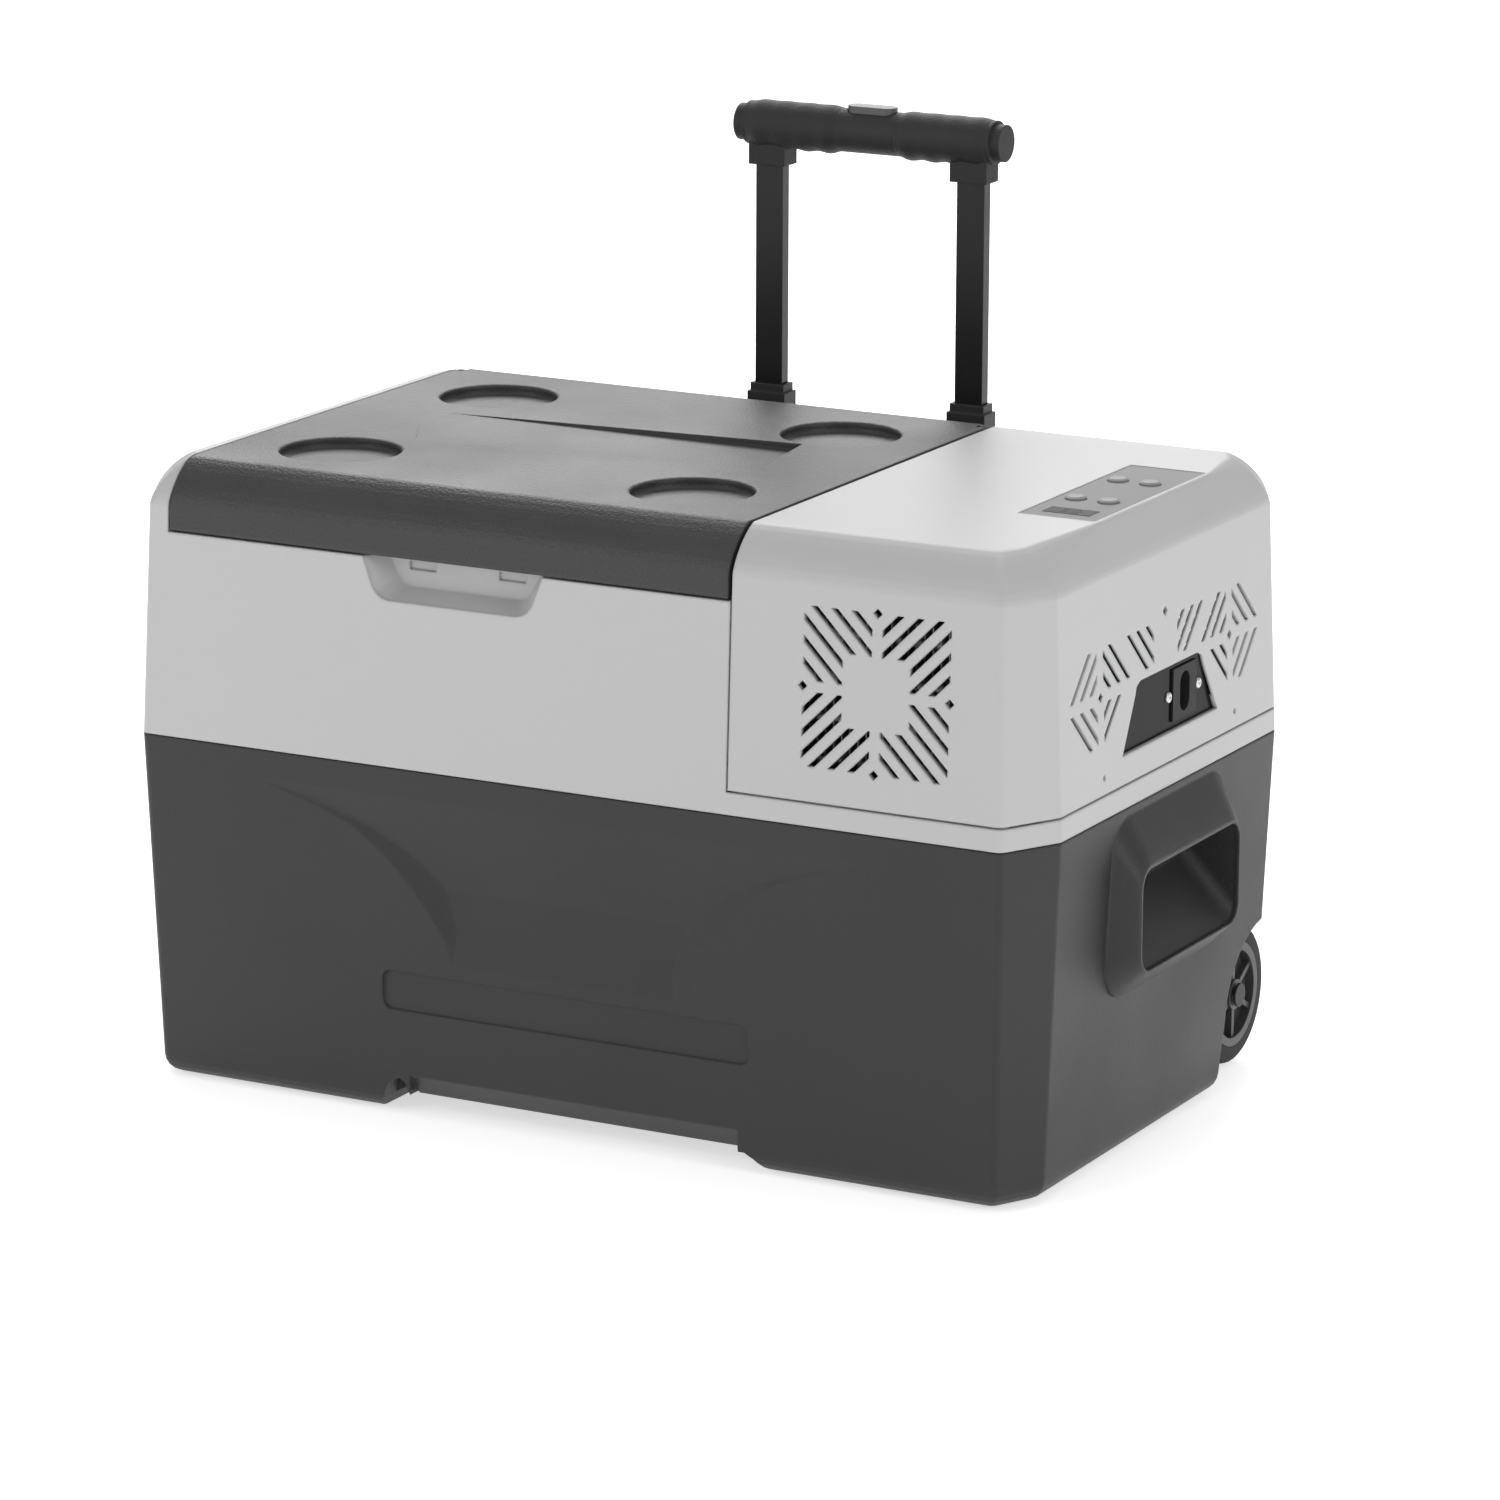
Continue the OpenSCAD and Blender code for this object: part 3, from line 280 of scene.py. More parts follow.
class ShaderBench:
    """One material under construction, with short ways to add and join nodes."""

    def __init__(self, name: str) -> None:
        """Makes the material and its Principled shader.

        Args:
            name: name of the finish.
        """
        self.material = bpy.data.materials.new(name)
        self.material.use_nodes = True
        self.tree = self.material.node_tree
        self.shader = self.tree.nodes["Principled BSDF"]

    def add(self, kind: str) -> bpy.types.Node:
        """Adds one node of the kind."""
        return self.tree.nodes.new(kind)

    def join(self, source: bpy.types.NodeSocket, target: bpy.types.NodeSocket) -> None:
        """Links two sockets."""
        self.tree.links.new(source, target)

    def effect(self, group: bpy.types.NodeTree, **values: float | tuple[float, ...]) -> bpy.types.Node:
        """Places a shared effect with its own values.

        Args:
            group: the effect.
            values: input values by name, with _ for a space.

        Returns:
            The placed group node.
        """
        node = self.add("ShaderNodeGroup")
        node.node_tree = group
        for label, value in values.items():
            node.inputs[label.replace("_", " ")].default_value = value
        return node

    def blend(
        self, mask: bpy.types.NodeSocket, base: bpy.types.NodeSocket, over: RGB
    ) -> bpy.types.NodeSocket:
        """Lays a colour over another where the mask is high.

        Args:
            mask: where the colour shows.
            base: the colour below.
            over: the colour on top.

        Returns:
            The mixed colour.
        """
        mix = self.add("ShaderNodeMix")
        mix.data_type = "RGBA"
        self.join(mask, mix.inputs["Factor"])
        self.join(base, mix.inputs["A"])
        mix.inputs["B"].default_value = (*over, 1.0)
        return mix.outputs["Result"]

    def spread(
        self, source: bpy.types.NodeSocket, low: float, high: float, start: float = 0.3, end: float = 0.7
    ) -> bpy.types.NodeSocket:
        """Maps a noise to a range.

        Args:
            source: the value to map.
            low: result at the start.
            high: result at the end.
            start: value that gives the low result.
            end: value that gives the high result.

        Returns:
            The mapped value.
        """
        node = self.add("ShaderNodeMapRange")
        node.inputs["From Min"].default_value = start
        node.inputs["From Max"].default_value = end
        node.inputs["To Min"].default_value = low
        node.inputs["To Max"].default_value = high
        self.join(source, node.inputs["Value"])
        return node.outputs["Result"]

    def bump(
        self,
        height: bpy.types.NodeSocket,
        depth: float,
        under: bpy.types.NodeSocket | None = None,
    ) -> bpy.types.NodeSocket:
        """Turns a height into a normal.

        Args:
            height: the height, from 0 to 1.
            depth: what a height of 1 measures, in metres.
            under: normal that the bump goes on.

        Returns:
            The normal.
        """
        node = self.add("ShaderNodeBump")
        node.inputs["Distance"].default_value = depth
        self.join(height, node.inputs["Height"])
        if under is not None:
            self.join(under, node.inputs["Normal"])
        return node.outputs["Normal"]


@dataclass(frozen=True)
class PlasticFinish:
    """Moulded plastic with its texture, colour cloud, worn edges and dust."""

    name: str
    color: RGB
    grain: Grain = Grain.SPARK
    roughness: float = 0.5
    edge_radius: float = 1.2 * MM
    edge_color: RGB | None = None
    mottle: float = 0.06
    dust: float = 0.03
    specular: float = 0.5
    coat: float = 0.0
    ior: float = 1.5

    def _texture(self) -> tuple[float, float, float]:
        """Scale, pebble share and depth of the texture."""
        return {
            Grain.SPARK: (900.0, 0.35, 0.00022),
            Grain.LEATHER: (620.0, 0.72, 0.00030),
            Grain.SATIN: (1500.0, 0.10, 0.000045),
            Grain.POLISHED: (300.0, 0.0, 0.000006),
        }[self.grain]

    def build(self) -> bpy.types.Material:
        """Makes the material.

        Returns:
            The finished material.
        """
        bench = ShaderBench(self.name)
        scale, pebbles, depth = self._texture()
        pigment = bench.effect(EFFECTS.mottle(), Color=(*self.color, 1.0), Amount=self.mottle, Scale=8.0)
        texture = bench.effect(EFFECTS.grain(), Scale=scale, Pebbles=pebbles)
        edge = bench.effect(EFFECTS.soft_edge(), Radius=self.edge_radius)
        settled = bench.effect(EFFECTS.dust(), Amount=self.dust)
        worn = self.edge_color or tuple(min(1.0, c * 1.25 + 0.006) for c in self.color)
        rubbed = bench.blend(edge.outputs["Edge"], pigment.outputs["Color"], worn)
        dusty = bench.blend(settled.outputs["Mask"], rubbed, (0.45, 0.44, 0.42))
        bench.join(dusty, bench.shader.inputs["Base Color"])
        swing = {Grain.POLISHED: 0.02, Grain.SATIN: 0.025}.get(self.grain, 0.06)
        bench.join(
            bench.spread(pigment.outputs["Cloud"], self.roughness - swing, self.roughness + swing),
            bench.shader.inputs["Roughness"],
        )
        bench.join(
            bench.bump(texture.outputs["Height"], depth, edge.outputs["Normal"]),
            bench.shader.inputs["Normal"],
        )
        bench.shader.inputs["Specular IOR Level"].default_value = self.specular
        bench.shader.inputs["IOR"].default_value = self.ior
        if self.coat:
            bench.shader.inputs["Coat Weight"].default_value = self.coat
            bench.shader.inputs["Coat Roughness"].default_value = 0.08
        return bench.material


@dataclass(frozen=True)
class MetalFinish:
    """Bare or plated metal with drawn streaks along one direction."""

    name: str
    color: RGB
    roughness: float = 0.32
    streak: tuple[float, float, float] = (30.0, 900.0, 900.0)
    tarnish: RGB = (0.18, 0.15, 0.12)
    tarnish_amount: float = 0.12
    edge_radius: float = 0.3 * MM

    def build(self) -> bpy.types.Material:
        """Makes the material.

        Returns:
            The finished material.
        """
        bench = ShaderBench(self.name)
        place = bench.add("ShaderNodeTexCoord")
        stretch = bench.add("ShaderNodeMapping")
        stretch.inputs["Scale"].default_value = self.streak
        bench.join(place.outputs["Object"], stretch.inputs["Vector"])
        lines = bench.add("ShaderNodeTexNoise")
        lines.inputs["Scale"].default_value = 1.0
        lines.inputs["Detail"].default_value = 5.0
        bench.join(stretch.outputs["Vector"], lines.inputs["Vector"])
        pigment = bench.effect(EFFECTS.mottle(), Color=(*self.color, 1.0), Amount=0.05, Scale=35.0)
        edge = bench.effect(EFFECTS.soft_edge(), Radius=self.edge_radius)
        spots = bench.spread(pigment.outputs["Cloud"], 0.0, self.tarnish_amount, 0.48, 0.75)
        bench.join(
            bench.blend(spots, pigment.outputs["Color"], self.tarnish), bench.shader.inputs["Base Color"]
        )
        bench.join(
            bench.spread(lines.outputs["Fac"], self.roughness - 0.08, self.roughness + 0.1),
            bench.shader.inputs["Roughness"],
        )
        bench.join(
            bench.bump(lines.outputs["Fac"], 0.00003, edge.outputs["Normal"]),
            bench.shader.inputs["Normal"],
        )
        bench.shader.inputs["Metallic"].default_value = 1.0
        return bench.material


@dataclass(frozen=True)
class SpangledSheet:
    """Galvanised sheet with crystal flakes."""

    name: str
    color: RGB = (0.55, 0.56, 0.57)

    def build(self) -> bpy.types.Material:
        """Makes the material.

        Returns:
            The finished material.
        """
        bench = ShaderBench(self.name)
        place = bench.add("ShaderNodeTexCoord")
        flakes = bench.add("ShaderNodeTexVoronoi")
        flakes.inputs["Scale"].default_value = 130.0
        bench.join(place.outputs["Object"], flakes.inputs["Vector"])
        grey = bench.add("ShaderNodeRGBToBW")
        bench.join(flakes.outputs["Color"], grey.inputs["Color"])
        shade = bench.spread(grey.outputs["Val"], 0.0, 0.4, 0.1, 0.9)
        pigment = bench.effect(EFFECTS.mottle(), Color=(*self.color, 1.0), Amount=0.05, Scale=20.0)
        bright = bench.blend(shade, pigment.outputs["Color"], (0.78, 0.8, 0.82))
        bench.join(bright, bench.shader.inputs["Base Color"])
        bench.join(bench.spread(grey.outputs["Val"], 0.3, 0.5, 0.1, 0.9), bench.shader.inputs["Roughness"])
        bench.shader.inputs["Metallic"].default_value = 1.0
        return bench.material


@dataclass(frozen=True)
class FoamFinish:
    """Open-cell insulation foam, with painted shade darkening its pits."""

    name: str
    color: RGB

    def build(self) -> bpy.types.Material:
        """Makes the material.

        Returns:
            The finished material.
        """
        bench = ShaderBench(self.name)
        texture = bench.effect(EFFECTS.grain(), Scale=420.0, Pebbles=0.9)
        pigment = bench.effect(EFFECTS.mottle(), Color=(*self.color, 1.0), Amount=0.16, Scale=30.0)
        # painted shade: the foam colour is pulled to dark brown where the grain's pits lie low, as if shade
        # fell in them
        pit_shaded_color = bench.blend(texture.outputs["Pits"], pigment.outputs["Color"], (0.35, 0.24, 0.08))
        bench.join(pit_shaded_color, bench.shader.inputs["Base Color"])
        bench.join(bench.spread(pigment.outputs["Cloud"], 0.8, 0.95), bench.shader.inputs["Roughness"])
        bench.join(bench.bump(texture.outputs["Height"], 0.0006), bench.shader.inputs["Normal"])
        return bench.material


@dataclass(frozen=True)
class FrostedLens:
    """Translucent lamp cover."""

    name: str

    def build(self) -> bpy.types.Material:
        """Makes the material.

        Returns:
            The finished material.
        """
        bench = ShaderBench(self.name)
        pigment = bench.effect(EFFECTS.mottle(), Color=(0.86, 0.9, 0.93, 1.0), Amount=0.03, Scale=90.0)
        texture = bench.effect(EFFECTS.grain(), Scale=900.0, Pebbles=0.2)
        bench.join(pigment.outputs["Color"], bench.shader.inputs["Base Color"])
        bench.join(bench.spread(pigment.outputs["Cloud"], 0.35, 0.5), bench.shader.inputs["Roughness"])
        bench.join(bench.bump(texture.outputs["Height"], 0.00006), bench.shader.inputs["Normal"])
        bench.shader.inputs["Transmission Weight"].default_value = 0.35
        return bench.material


@dataclass(frozen=True)
class FloorFinish:
    """Pale matt studio floor."""

    name: str = "studio_floor"

    def build(self) -> bpy.types.Material:
        """Makes the material.

        Returns:
            The finished material.
        """
        bench = ShaderBench(self.name)
        pigment = bench.effect(EFFECTS.mottle(), Color=(0.90, 0.90, 0.90, 1.0), Amount=0.01, Scale=1.5)
        bench.join(pigment.outputs["Color"], bench.shader.inputs["Base Color"])
        bench.join(bench.spread(pigment.outputs["Cloud"], 0.75, 0.85), bench.shader.inputs["Roughness"])
        bench.shader.inputs["Specular IOR Level"].default_value = 0.15
        bench.shader.inputs["Emission Color"].default_value = (1.0, 1.0, 1.0, 1.0)
        bench.shader.inputs["Emission Strength"].default_value = 0.60
        return bench.material


@dataclass
class FinishCabinet:
    """Every finish of the cooler, by the record's material slot."""

    made: dict[str, bpy.types.Material] = field(default_factory=dict)

    def recipes(self) -> dict[str, object]:
        """The finish of each slot.

        Returns:
            A finish by slot name.
        """
        steel = (0.62, 0.62, 0.60)
        copper = (0.70, 0.33, 0.18)
        return {
            "base_plastic": PlasticFinish(
                "base_plastic", (0.021, 0.0213, 0.0216), Grain.SPARK, 0.46, 2.2 * MM, mottle=0.14, dust=0.04,
                specular=0.42
            ),
            "shell_plastic": PlasticFinish(
                "shell_plastic", (0.48, 0.48, 0.48), Grain.SATIN, 0.42, 2.4 * MM,
                edge_color=(0.53, 0.53, 0.53), mottle=0.02, dust=0.0
            ),
            "lid_plastic": PlasticFinish(
                "lid_plastic", (0.036, 0.0365, 0.037), Grain.LEATHER, 0.47, 2.6 * MM, mottle=0.12, dust=0.04,
                specular=0.42
            ),
            "liner_plastic": PlasticFinish(
                "liner_plastic", (0.78, 0.79, 0.79), Grain.SATIN, 0.30, 2.0 * MM,
                edge_color=(0.82, 0.82, 0.82), mottle=0.02, dust=0.0
            ),
            "insulation_foam": FoamFinish("insulation_foam", (0.72, 0.56, 0.26)),
            "copper_tube": MetalFinish("copper_tube", copper, 0.28, tarnish_amount=0.35),
            "lamp_lens": FrostedLens("lamp_lens"),
            "galvanised_sheet": SpangledSheet("galvanised_sheet"),
            "compressor_enamel": PlasticFinish(
                "compressor_enamel", (0.012, 0.012, 0.013), Grain.POLISHED, 0.22, coat=0.4
            ),
            "rubber": PlasticFinish(
                "rubber", (0.018, 0.018, 0.018), Grain.SPARK, 0.72, 0.8 * MM, mottle=0.12
            ),
            "fastener_steel": MetalFinish("fastener_steel", steel, 0.3, (400.0, 400.0, 400.0)),
            "condenser_alu": MetalFinish("condenser_alu", (0.76, 0.77, 0.78), 0.35),
            "fan_plastic": PlasticFinish("fan_plastic", (0.02, 0.02, 0.02), Grain.SATIN, 0.4),
            "circuit_board": PlasticFinish("circuit_board", (0.02, 0.13, 0.05), Grain.POLISHED, 0.3),
            "panel_overlay": PlasticFinish(
                "panel_overlay", (0.24, 0.24, 0.244), Grain.SATIN, 0.55, 0.5 * MM,
                mottle=0.03, dust=0.0, ior=1.3
            ),
            "display_lens": PlasticFinish(
                "display_lens", (0.004, 0.004, 0.005), Grain.POLISHED, 0.22, 0.3 * MM, dust=0.0, ior=1.12
            ),
            "button_plastic": PlasticFinish(
                "button_plastic", (0.27, 0.27, 0.273), Grain.SATIN, 0.45, 0.6 * MM,
                mottle=0.03, dust=0.0, ior=1.35
            ),
            "inlet_gloss": PlasticFinish(
                "inlet_gloss", (0.004, 0.004, 0.0045), Grain.POLISHED, 0.2, 0.5 * MM, dust=0.0, ior=1.14
            ),
            "socket_plastic": PlasticFinish(
                "socket_plastic", (0.022, 0.022, 0.023), Grain.SATIN, 0.45, 0.5 * MM, ior=1.2
            ),
            "pin_brass": MetalFinish("pin_brass", (0.78, 0.70, 0.50), 0.2),
            "gasket_rubber": PlasticFinish("gasket_rubber", (0.06, 0.06, 0.062), Grain.SATIN, 0.6, 0.6 * MM),
            "tube_enamel": PlasticFinish(
                "tube_enamel", (0.005, 0.005, 0.0055), Grain.SATIN, 0.28, 1.0 * MM,
                edge_color=(0.02, 0.02, 0.02), dust=0.01,
                specular=0.35
            ),
            "trolley_plastic": PlasticFinish("trolley_plastic", (0.011, 0.011, 0.011), Grain.SPARK, 0.48),
            "grip_plastic": PlasticFinish("grip_plastic", (0.013, 0.013, 0.0135), Grain.LEATHER, 0.6),
            "release_plastic": PlasticFinish("release_plastic", (0.09, 0.09, 0.093), Grain.SATIN, 0.4),
            "axle_steel": MetalFinish("axle_steel", (0.66, 0.66, 0.65), 0.25),
            "tyre_rubber": PlasticFinish(
                "tyre_rubber", (0.014, 0.014, 0.014), Grain.SPARK, 0.75, 0.6 * MM,
                edge_color=(0.05, 0.048, 0.045), mottle=0.15, dust=0.12
            ),
            "hub_plastic": PlasticFinish("hub_plastic", (0.045, 0.045, 0.046), Grain.SATIN, 0.42, 0.8 * MM),
        }

    def take(self, slot: str) -> bpy.types.Material:
        """The material of a slot, made when first asked for.

        Args:
            slot: name of the record's material slot.

        Returns:
            The material.
        """
        if slot not in self.made:
            self.made[slot] = self.recipes()[slot].build()
        return self.made[slot]

    def dress_frame(self) -> None:
        """Gives every CAD node the material of its slot."""
        for entry in frame["record"]["subparts"]:
            node = frame["nodes"][entry["node"]]
            material = self.take(entry["material_slot"])
            if not node.material_slots:
                node.data.materials.append(material)
            for place in node.material_slots:
                place.material = material
        LOG.info("dressed %d nodes", len(frame["nodes"]))


# ---------------------------------------------------------------------------------------
# Mesh making
# ---------------------------------------------------------------------------------------


@dataclass
class MeshForge:
    """Builds meshes from rings and dresses them as pieces that ride on a body."""

    finishes: FinishCabinet

    @staticmethod
    def skin(mesh: bmesh.types.BMesh, rings: Sequence[Ring], around: bool = True, loop: bool = False) -> None:
        """Joins rings of equal length into a skin.

        Args:
            mesh: the mesh that gets the faces.
            rings: the rings in order.
            around: each ring is closed.
            loop: the last ring joins the first.
        """
        rows = [[mesh.verts.new(point) for point in ring] for ring in rings]
        pairs = list(zip(rows, rows[1:]))
        if loop:
            pairs.append((rows[-1], rows[0]))
        count = len(rows[0])
        for low, high in pairs:
            for index in range(count if around else count - 1):
                step = (index + 1) % count
                mesh.faces.new((low[index], low[step], high[step], high[index]))
        if around and not loop:
            mesh.faces.new(list(reversed(rows[0])))
            mesh.faces.new(rows[-1])

    def piece(
        self,
        name: str,
        mesh: bmesh.types.BMesh,
        body: str,
        slot: str,
        sharp: float = 35.0,
        stands_for: Sequence[str] = (),
    ) -> bpy.types.Object:
        """Turns a mesh into a piece of the cooler.

        Args:
            name: name of the piece.
            mesh: its mesh, in metres in the row frame.
            body: the body it rides on.
            slot: the material slot it takes its finish from.
            sharp: edges that turn more than this stay sharp, in degrees.
            stands_for: the CAD nodes it replaces.

        Returns:
            The new object.
        """
        bmesh.ops.recalc_face_normals(mesh, faces=mesh.faces)
        for face in mesh.faces:
            face.smooth = True
        for edge in mesh.edges:
            if len(edge.link_faces) == 2 and edge.calc_face_angle(0.0) > math.radians(sharp):
                edge.smooth = False
        data = bpy.data.meshes.new(name)
        mesh.to_mesh(data)
        mesh.free()
        data.materials.append(self.finishes.take(slot))
        thing = bpy.data.objects.new(name, data)
        bpy.context.scene.collection.objects.link(thing)
        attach(thing, body)
        if stands_for:
            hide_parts(*stands_for)
        LOG.info("%s: %d faces on %s", name, len(data.polygons), body)
        return thing


def circle(count: int, place: Callable[[float], Vector]) -> Ring:
    """Points of a closed ring.

    Args:
        count: how many points.
        place: gives the point at an angle in radians.

    Returns:
        The ring.
    """
    return [place(math.tau * index / count) for index in range(count)]


def middle(node: str) -> Vector:
    """Middle of a CAD node's box."""
    low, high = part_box(node)
    return (low + high) / 2


# ---------------------------------------------------------------------------------------
# Sub-assemblies
# ---------------------------------------------------------------------------------------


@dataclass
class RoadWheel:
    """Tyre with a cut tread on its own hub."""

    forge: MeshForge
    side: str
    groove: float = 1.6 * MM
    rubber: float = 10.8 * MM
    tread_edge: float = 1.3 * MM
    twist: float = 0.7
    blocks: int = 44
    steps: int = 5

    def build(self) -> None:
        """Makes the tyre in place of the plain one."""
        low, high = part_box(f"{self.side}_tyre")
        centre = (low + high) / 2
        radius = (high.z - low.z) / 2
        width = high.x - low.x
        inner = radius - self.rubber
        profile = [
            (0.0, inner), (0.0, radius - 5 * MM), (0.02, radius - 2.6 * MM), (0.07, radius - 1.2 * MM),
            (0.14, radius - 0.5 * MM), (0.2, radius - 0.15 * MM),
            (0.29, radius), (0.3, radius), (0.42, radius),
            (0.45, radius - self.groove), (0.55, radius - self.groove), (0.58, radius), (0.7, radius),
            (0.71, radius), (0.8, radius - 0.15 * MM), (0.86, radius - 0.5 * MM), (0.93, radius - 1.2 * MM),
            (0.98, radius - 2.6 * MM), (1.0, radius - 5 * MM), (1.0, inner),
        ]
        count = self.blocks * self.steps
        rings: list[Ring] = []
        for index in range(count):
            angle = math.tau * index / count
            ring: Ring = []
            for share, reach in profile:
                phase = (index + (2.5 if share > 0.5 else 0.0)) % self.steps
                block = reach > radius - self.tread_edge and abs(share - 0.5) > 0.12
                cut = self.groove if phase < 1 and block else 0.0
                spin = angle + self.twist * abs(share - 0.5) * math.tau / self.blocks
                ring.append(
                    Vector((
                        low.x + width * share,
                        centre.y + math.sin(spin) * (reach - cut),
                        centre.z + math.cos(spin) * (reach - cut),
                    ))
                )
            rings.append(ring)
        mesh = bmesh.new()
        MeshForge.skin(mesh, rings, around=True, loop=True)
        self.forge.piece(
            f"{self.side}_treaded_tyre", mesh, f"{self.side}_wheel", "tyre_rubber", 28, [f"{self.side}_tyre"]
        )


@dataclass
class TrolleyGrip:
    """Soft sleeves with finger waves on both halves of the handle bar."""

    forge: MeshForge
    sleeve_start: float = 20 * MM
    sleeve_end: float = 79 * MM
    reach: float = 13.05 * MM
    bar_drop: float = 13 * MM
    swell: float = 0.9 * MM
    wave: float = 0.9 * MM
    waves: int = 4
    stations: int = 64

    def build(self) -> None:
        """Makes the two sleeves."""
        low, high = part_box("handle_grip")
        centre = (low + high) / 2
        bar = high.z - self.bar_drop
        for side, label in ((-1, "left"), (1, "right")):
            rings: list[Ring] = []
            for index in range(self.stations + 1):
                share = index / self.stations
                x = side * (self.sleeve_start + (self.sleeve_end - self.sleeve_start) * share)
                lift = self.swell * min(1.0, math.sin(math.pi * share) * 4)
                ripple = self.wave * 0.5 * (1 - math.cos(math.tau * self.waves * share))
                ripple = ripple * min(1.0, math.sin(math.pi * share) * 3)
                rings.append(
                    circle(
                        40,
                        lambda a, x=x, lift=lift, ripple=ripple: Vector((
                            x,
                            centre.y + math.sin(a) * (self.reach + lift + ripple * 0.3),
                            bar + math.cos(a) * (
                                self.reach + lift + ripple * (0.3 if math.cos(a) > 0 else 1.0)
                            ),
                        )),
                    )
                )
            mesh = bmesh.new()
            MeshForge.skin(mesh, rings)
            self.forge.piece(f"{label}_grip_sleeve", mesh, "handle", "grip_plastic", 50)


@dataclass
class LidSeal:
    """Soft bellows seal round the lid plug."""

    forge: MeshForge
    corner: float = 24 * MM
    steps: int = 10

    def _path(self, low: Vector, high: Vector, inset: float) -> list[tuple[float, float]]:
        """Rounded rectangle inside a box.

        Args:
            low: lowest corner.
            high: highest corner.
            inset: distance inside the box.

        Returns:
            Points in plan.
        """
        radius = self.corner - inset
        points: list[tuple[float, float]] = []
        near = (low.x + self.corner, low.y + self.corner)
        far = (high.x - self.corner, high.y - self.corner)
        corners = [
            (far[0], far[1], 0.0), (near[0], far[1], 90.0),
            (near[0], near[1], 180.0), (far[0], near[1], 270.0),
        ]
        for x, y, start in corners:
            for index in range(self.steps + 1):
                angle = math.radians(start + 90 * index / self.steps)
                points.append((x + radius * math.cos(angle), y + radius * math.sin(angle)))
        return points

    def build(self) -> None:
        """Makes the seal in place of the flat ring."""
        low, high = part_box("lid_gasket")
        thick = high.z - low.z
        profile = [
            (0.2, 1.0), (0.0, 0.75), (0.1, 0.45), (0.8, 0.15), (1.8, 0.05), (2.6, 0.2), (3.0, 0.5),
            (3.6, 0.55), (4.2, 0.2), (5.2, 0.05), (6.2, 0.15), (6.9, 0.45), (7.0, 0.75), (6.8, 1.0),
        ]
        rings = []
        for offset, height in profile:
            plan = self._path(low, high, offset * MM)
            rings.append([Vector((x, y, low.z + thick * height)) for x, y in plan])
        mesh = bmesh.new()
        MeshForge.skin(mesh, rings, around=True, loop=True)
        self.forge.piece("lid_bellows_seal", mesh, "lid", "gasket_rubber", 60, ["lid_gasket"])


@dataclass
class CrossHeadScrews:
    """Pan head screws with a cross recess, in place of plain studs."""

    forge: MeshForge
    node: str
    places: Sequence[Vector]
    axis: Vector
    head_radius: float = 3.2 * MM
    head_height: float = 1.5 * MM

    def build(self) -> None:
        """Makes every screw of the node as one piece."""
        mesh = bmesh.new()
        turn = Vector((0, 0, 1)).rotation_difference(self.axis).to_matrix().to_4x4()
        for place in self.places:
            move = Matrix.Translation(place) @ turn
            self._head(mesh, move)
        self.forge.piece(f"{self.node}_cross_heads", mesh, "cabinet", "fastener_steel", 40, [self.node])

    def _head(self, mesh: bmesh.types.BMesh, move: Matrix) -> None:
        """Adds one head with its shank and recess.

        Args:
            mesh: the mesh that gets it.
            move: places the head, its seat at z 0 and its top at +z.
        """
        count = 32
        reach, tall = self.head_radius, self.head_height
        steps = [
            (0.45, -2.6), (0.45, -0.02), (1.0, 0.0), (1.0, 0.3),
            (0.96, 0.6), (0.85, 0.85), (0.68, 0.98), (0.56, 1.0),
        ]
        rings = [
            circle(
                count,
                lambda a, r=r, h=h: move
                @ Vector((reach * r * math.cos(a), reach * r * math.sin(a), tall * h)),
            )
            for r, h in steps
        ]

        def cross(a: float, depth: float, size: float) -> Vector:
            """Point of the cross recess at an angle."""
            arm = abs(math.cos(2 * a)) ** 3
            r = reach * size * (0.16 + 0.36 * arm)
            return move @ Vector((r * math.cos(a), r * math.sin(a), tall * depth))

        rings.append(circle(count, lambda a: cross(a, 0.99, 1.0)))
        rings.append(circle(count, lambda a: cross(a, 0.3, 0.75)))
        rings.append(circle(count, lambda a: cross(a, 0.15, 0.25)))
        MeshForge.skin(mesh, rings)


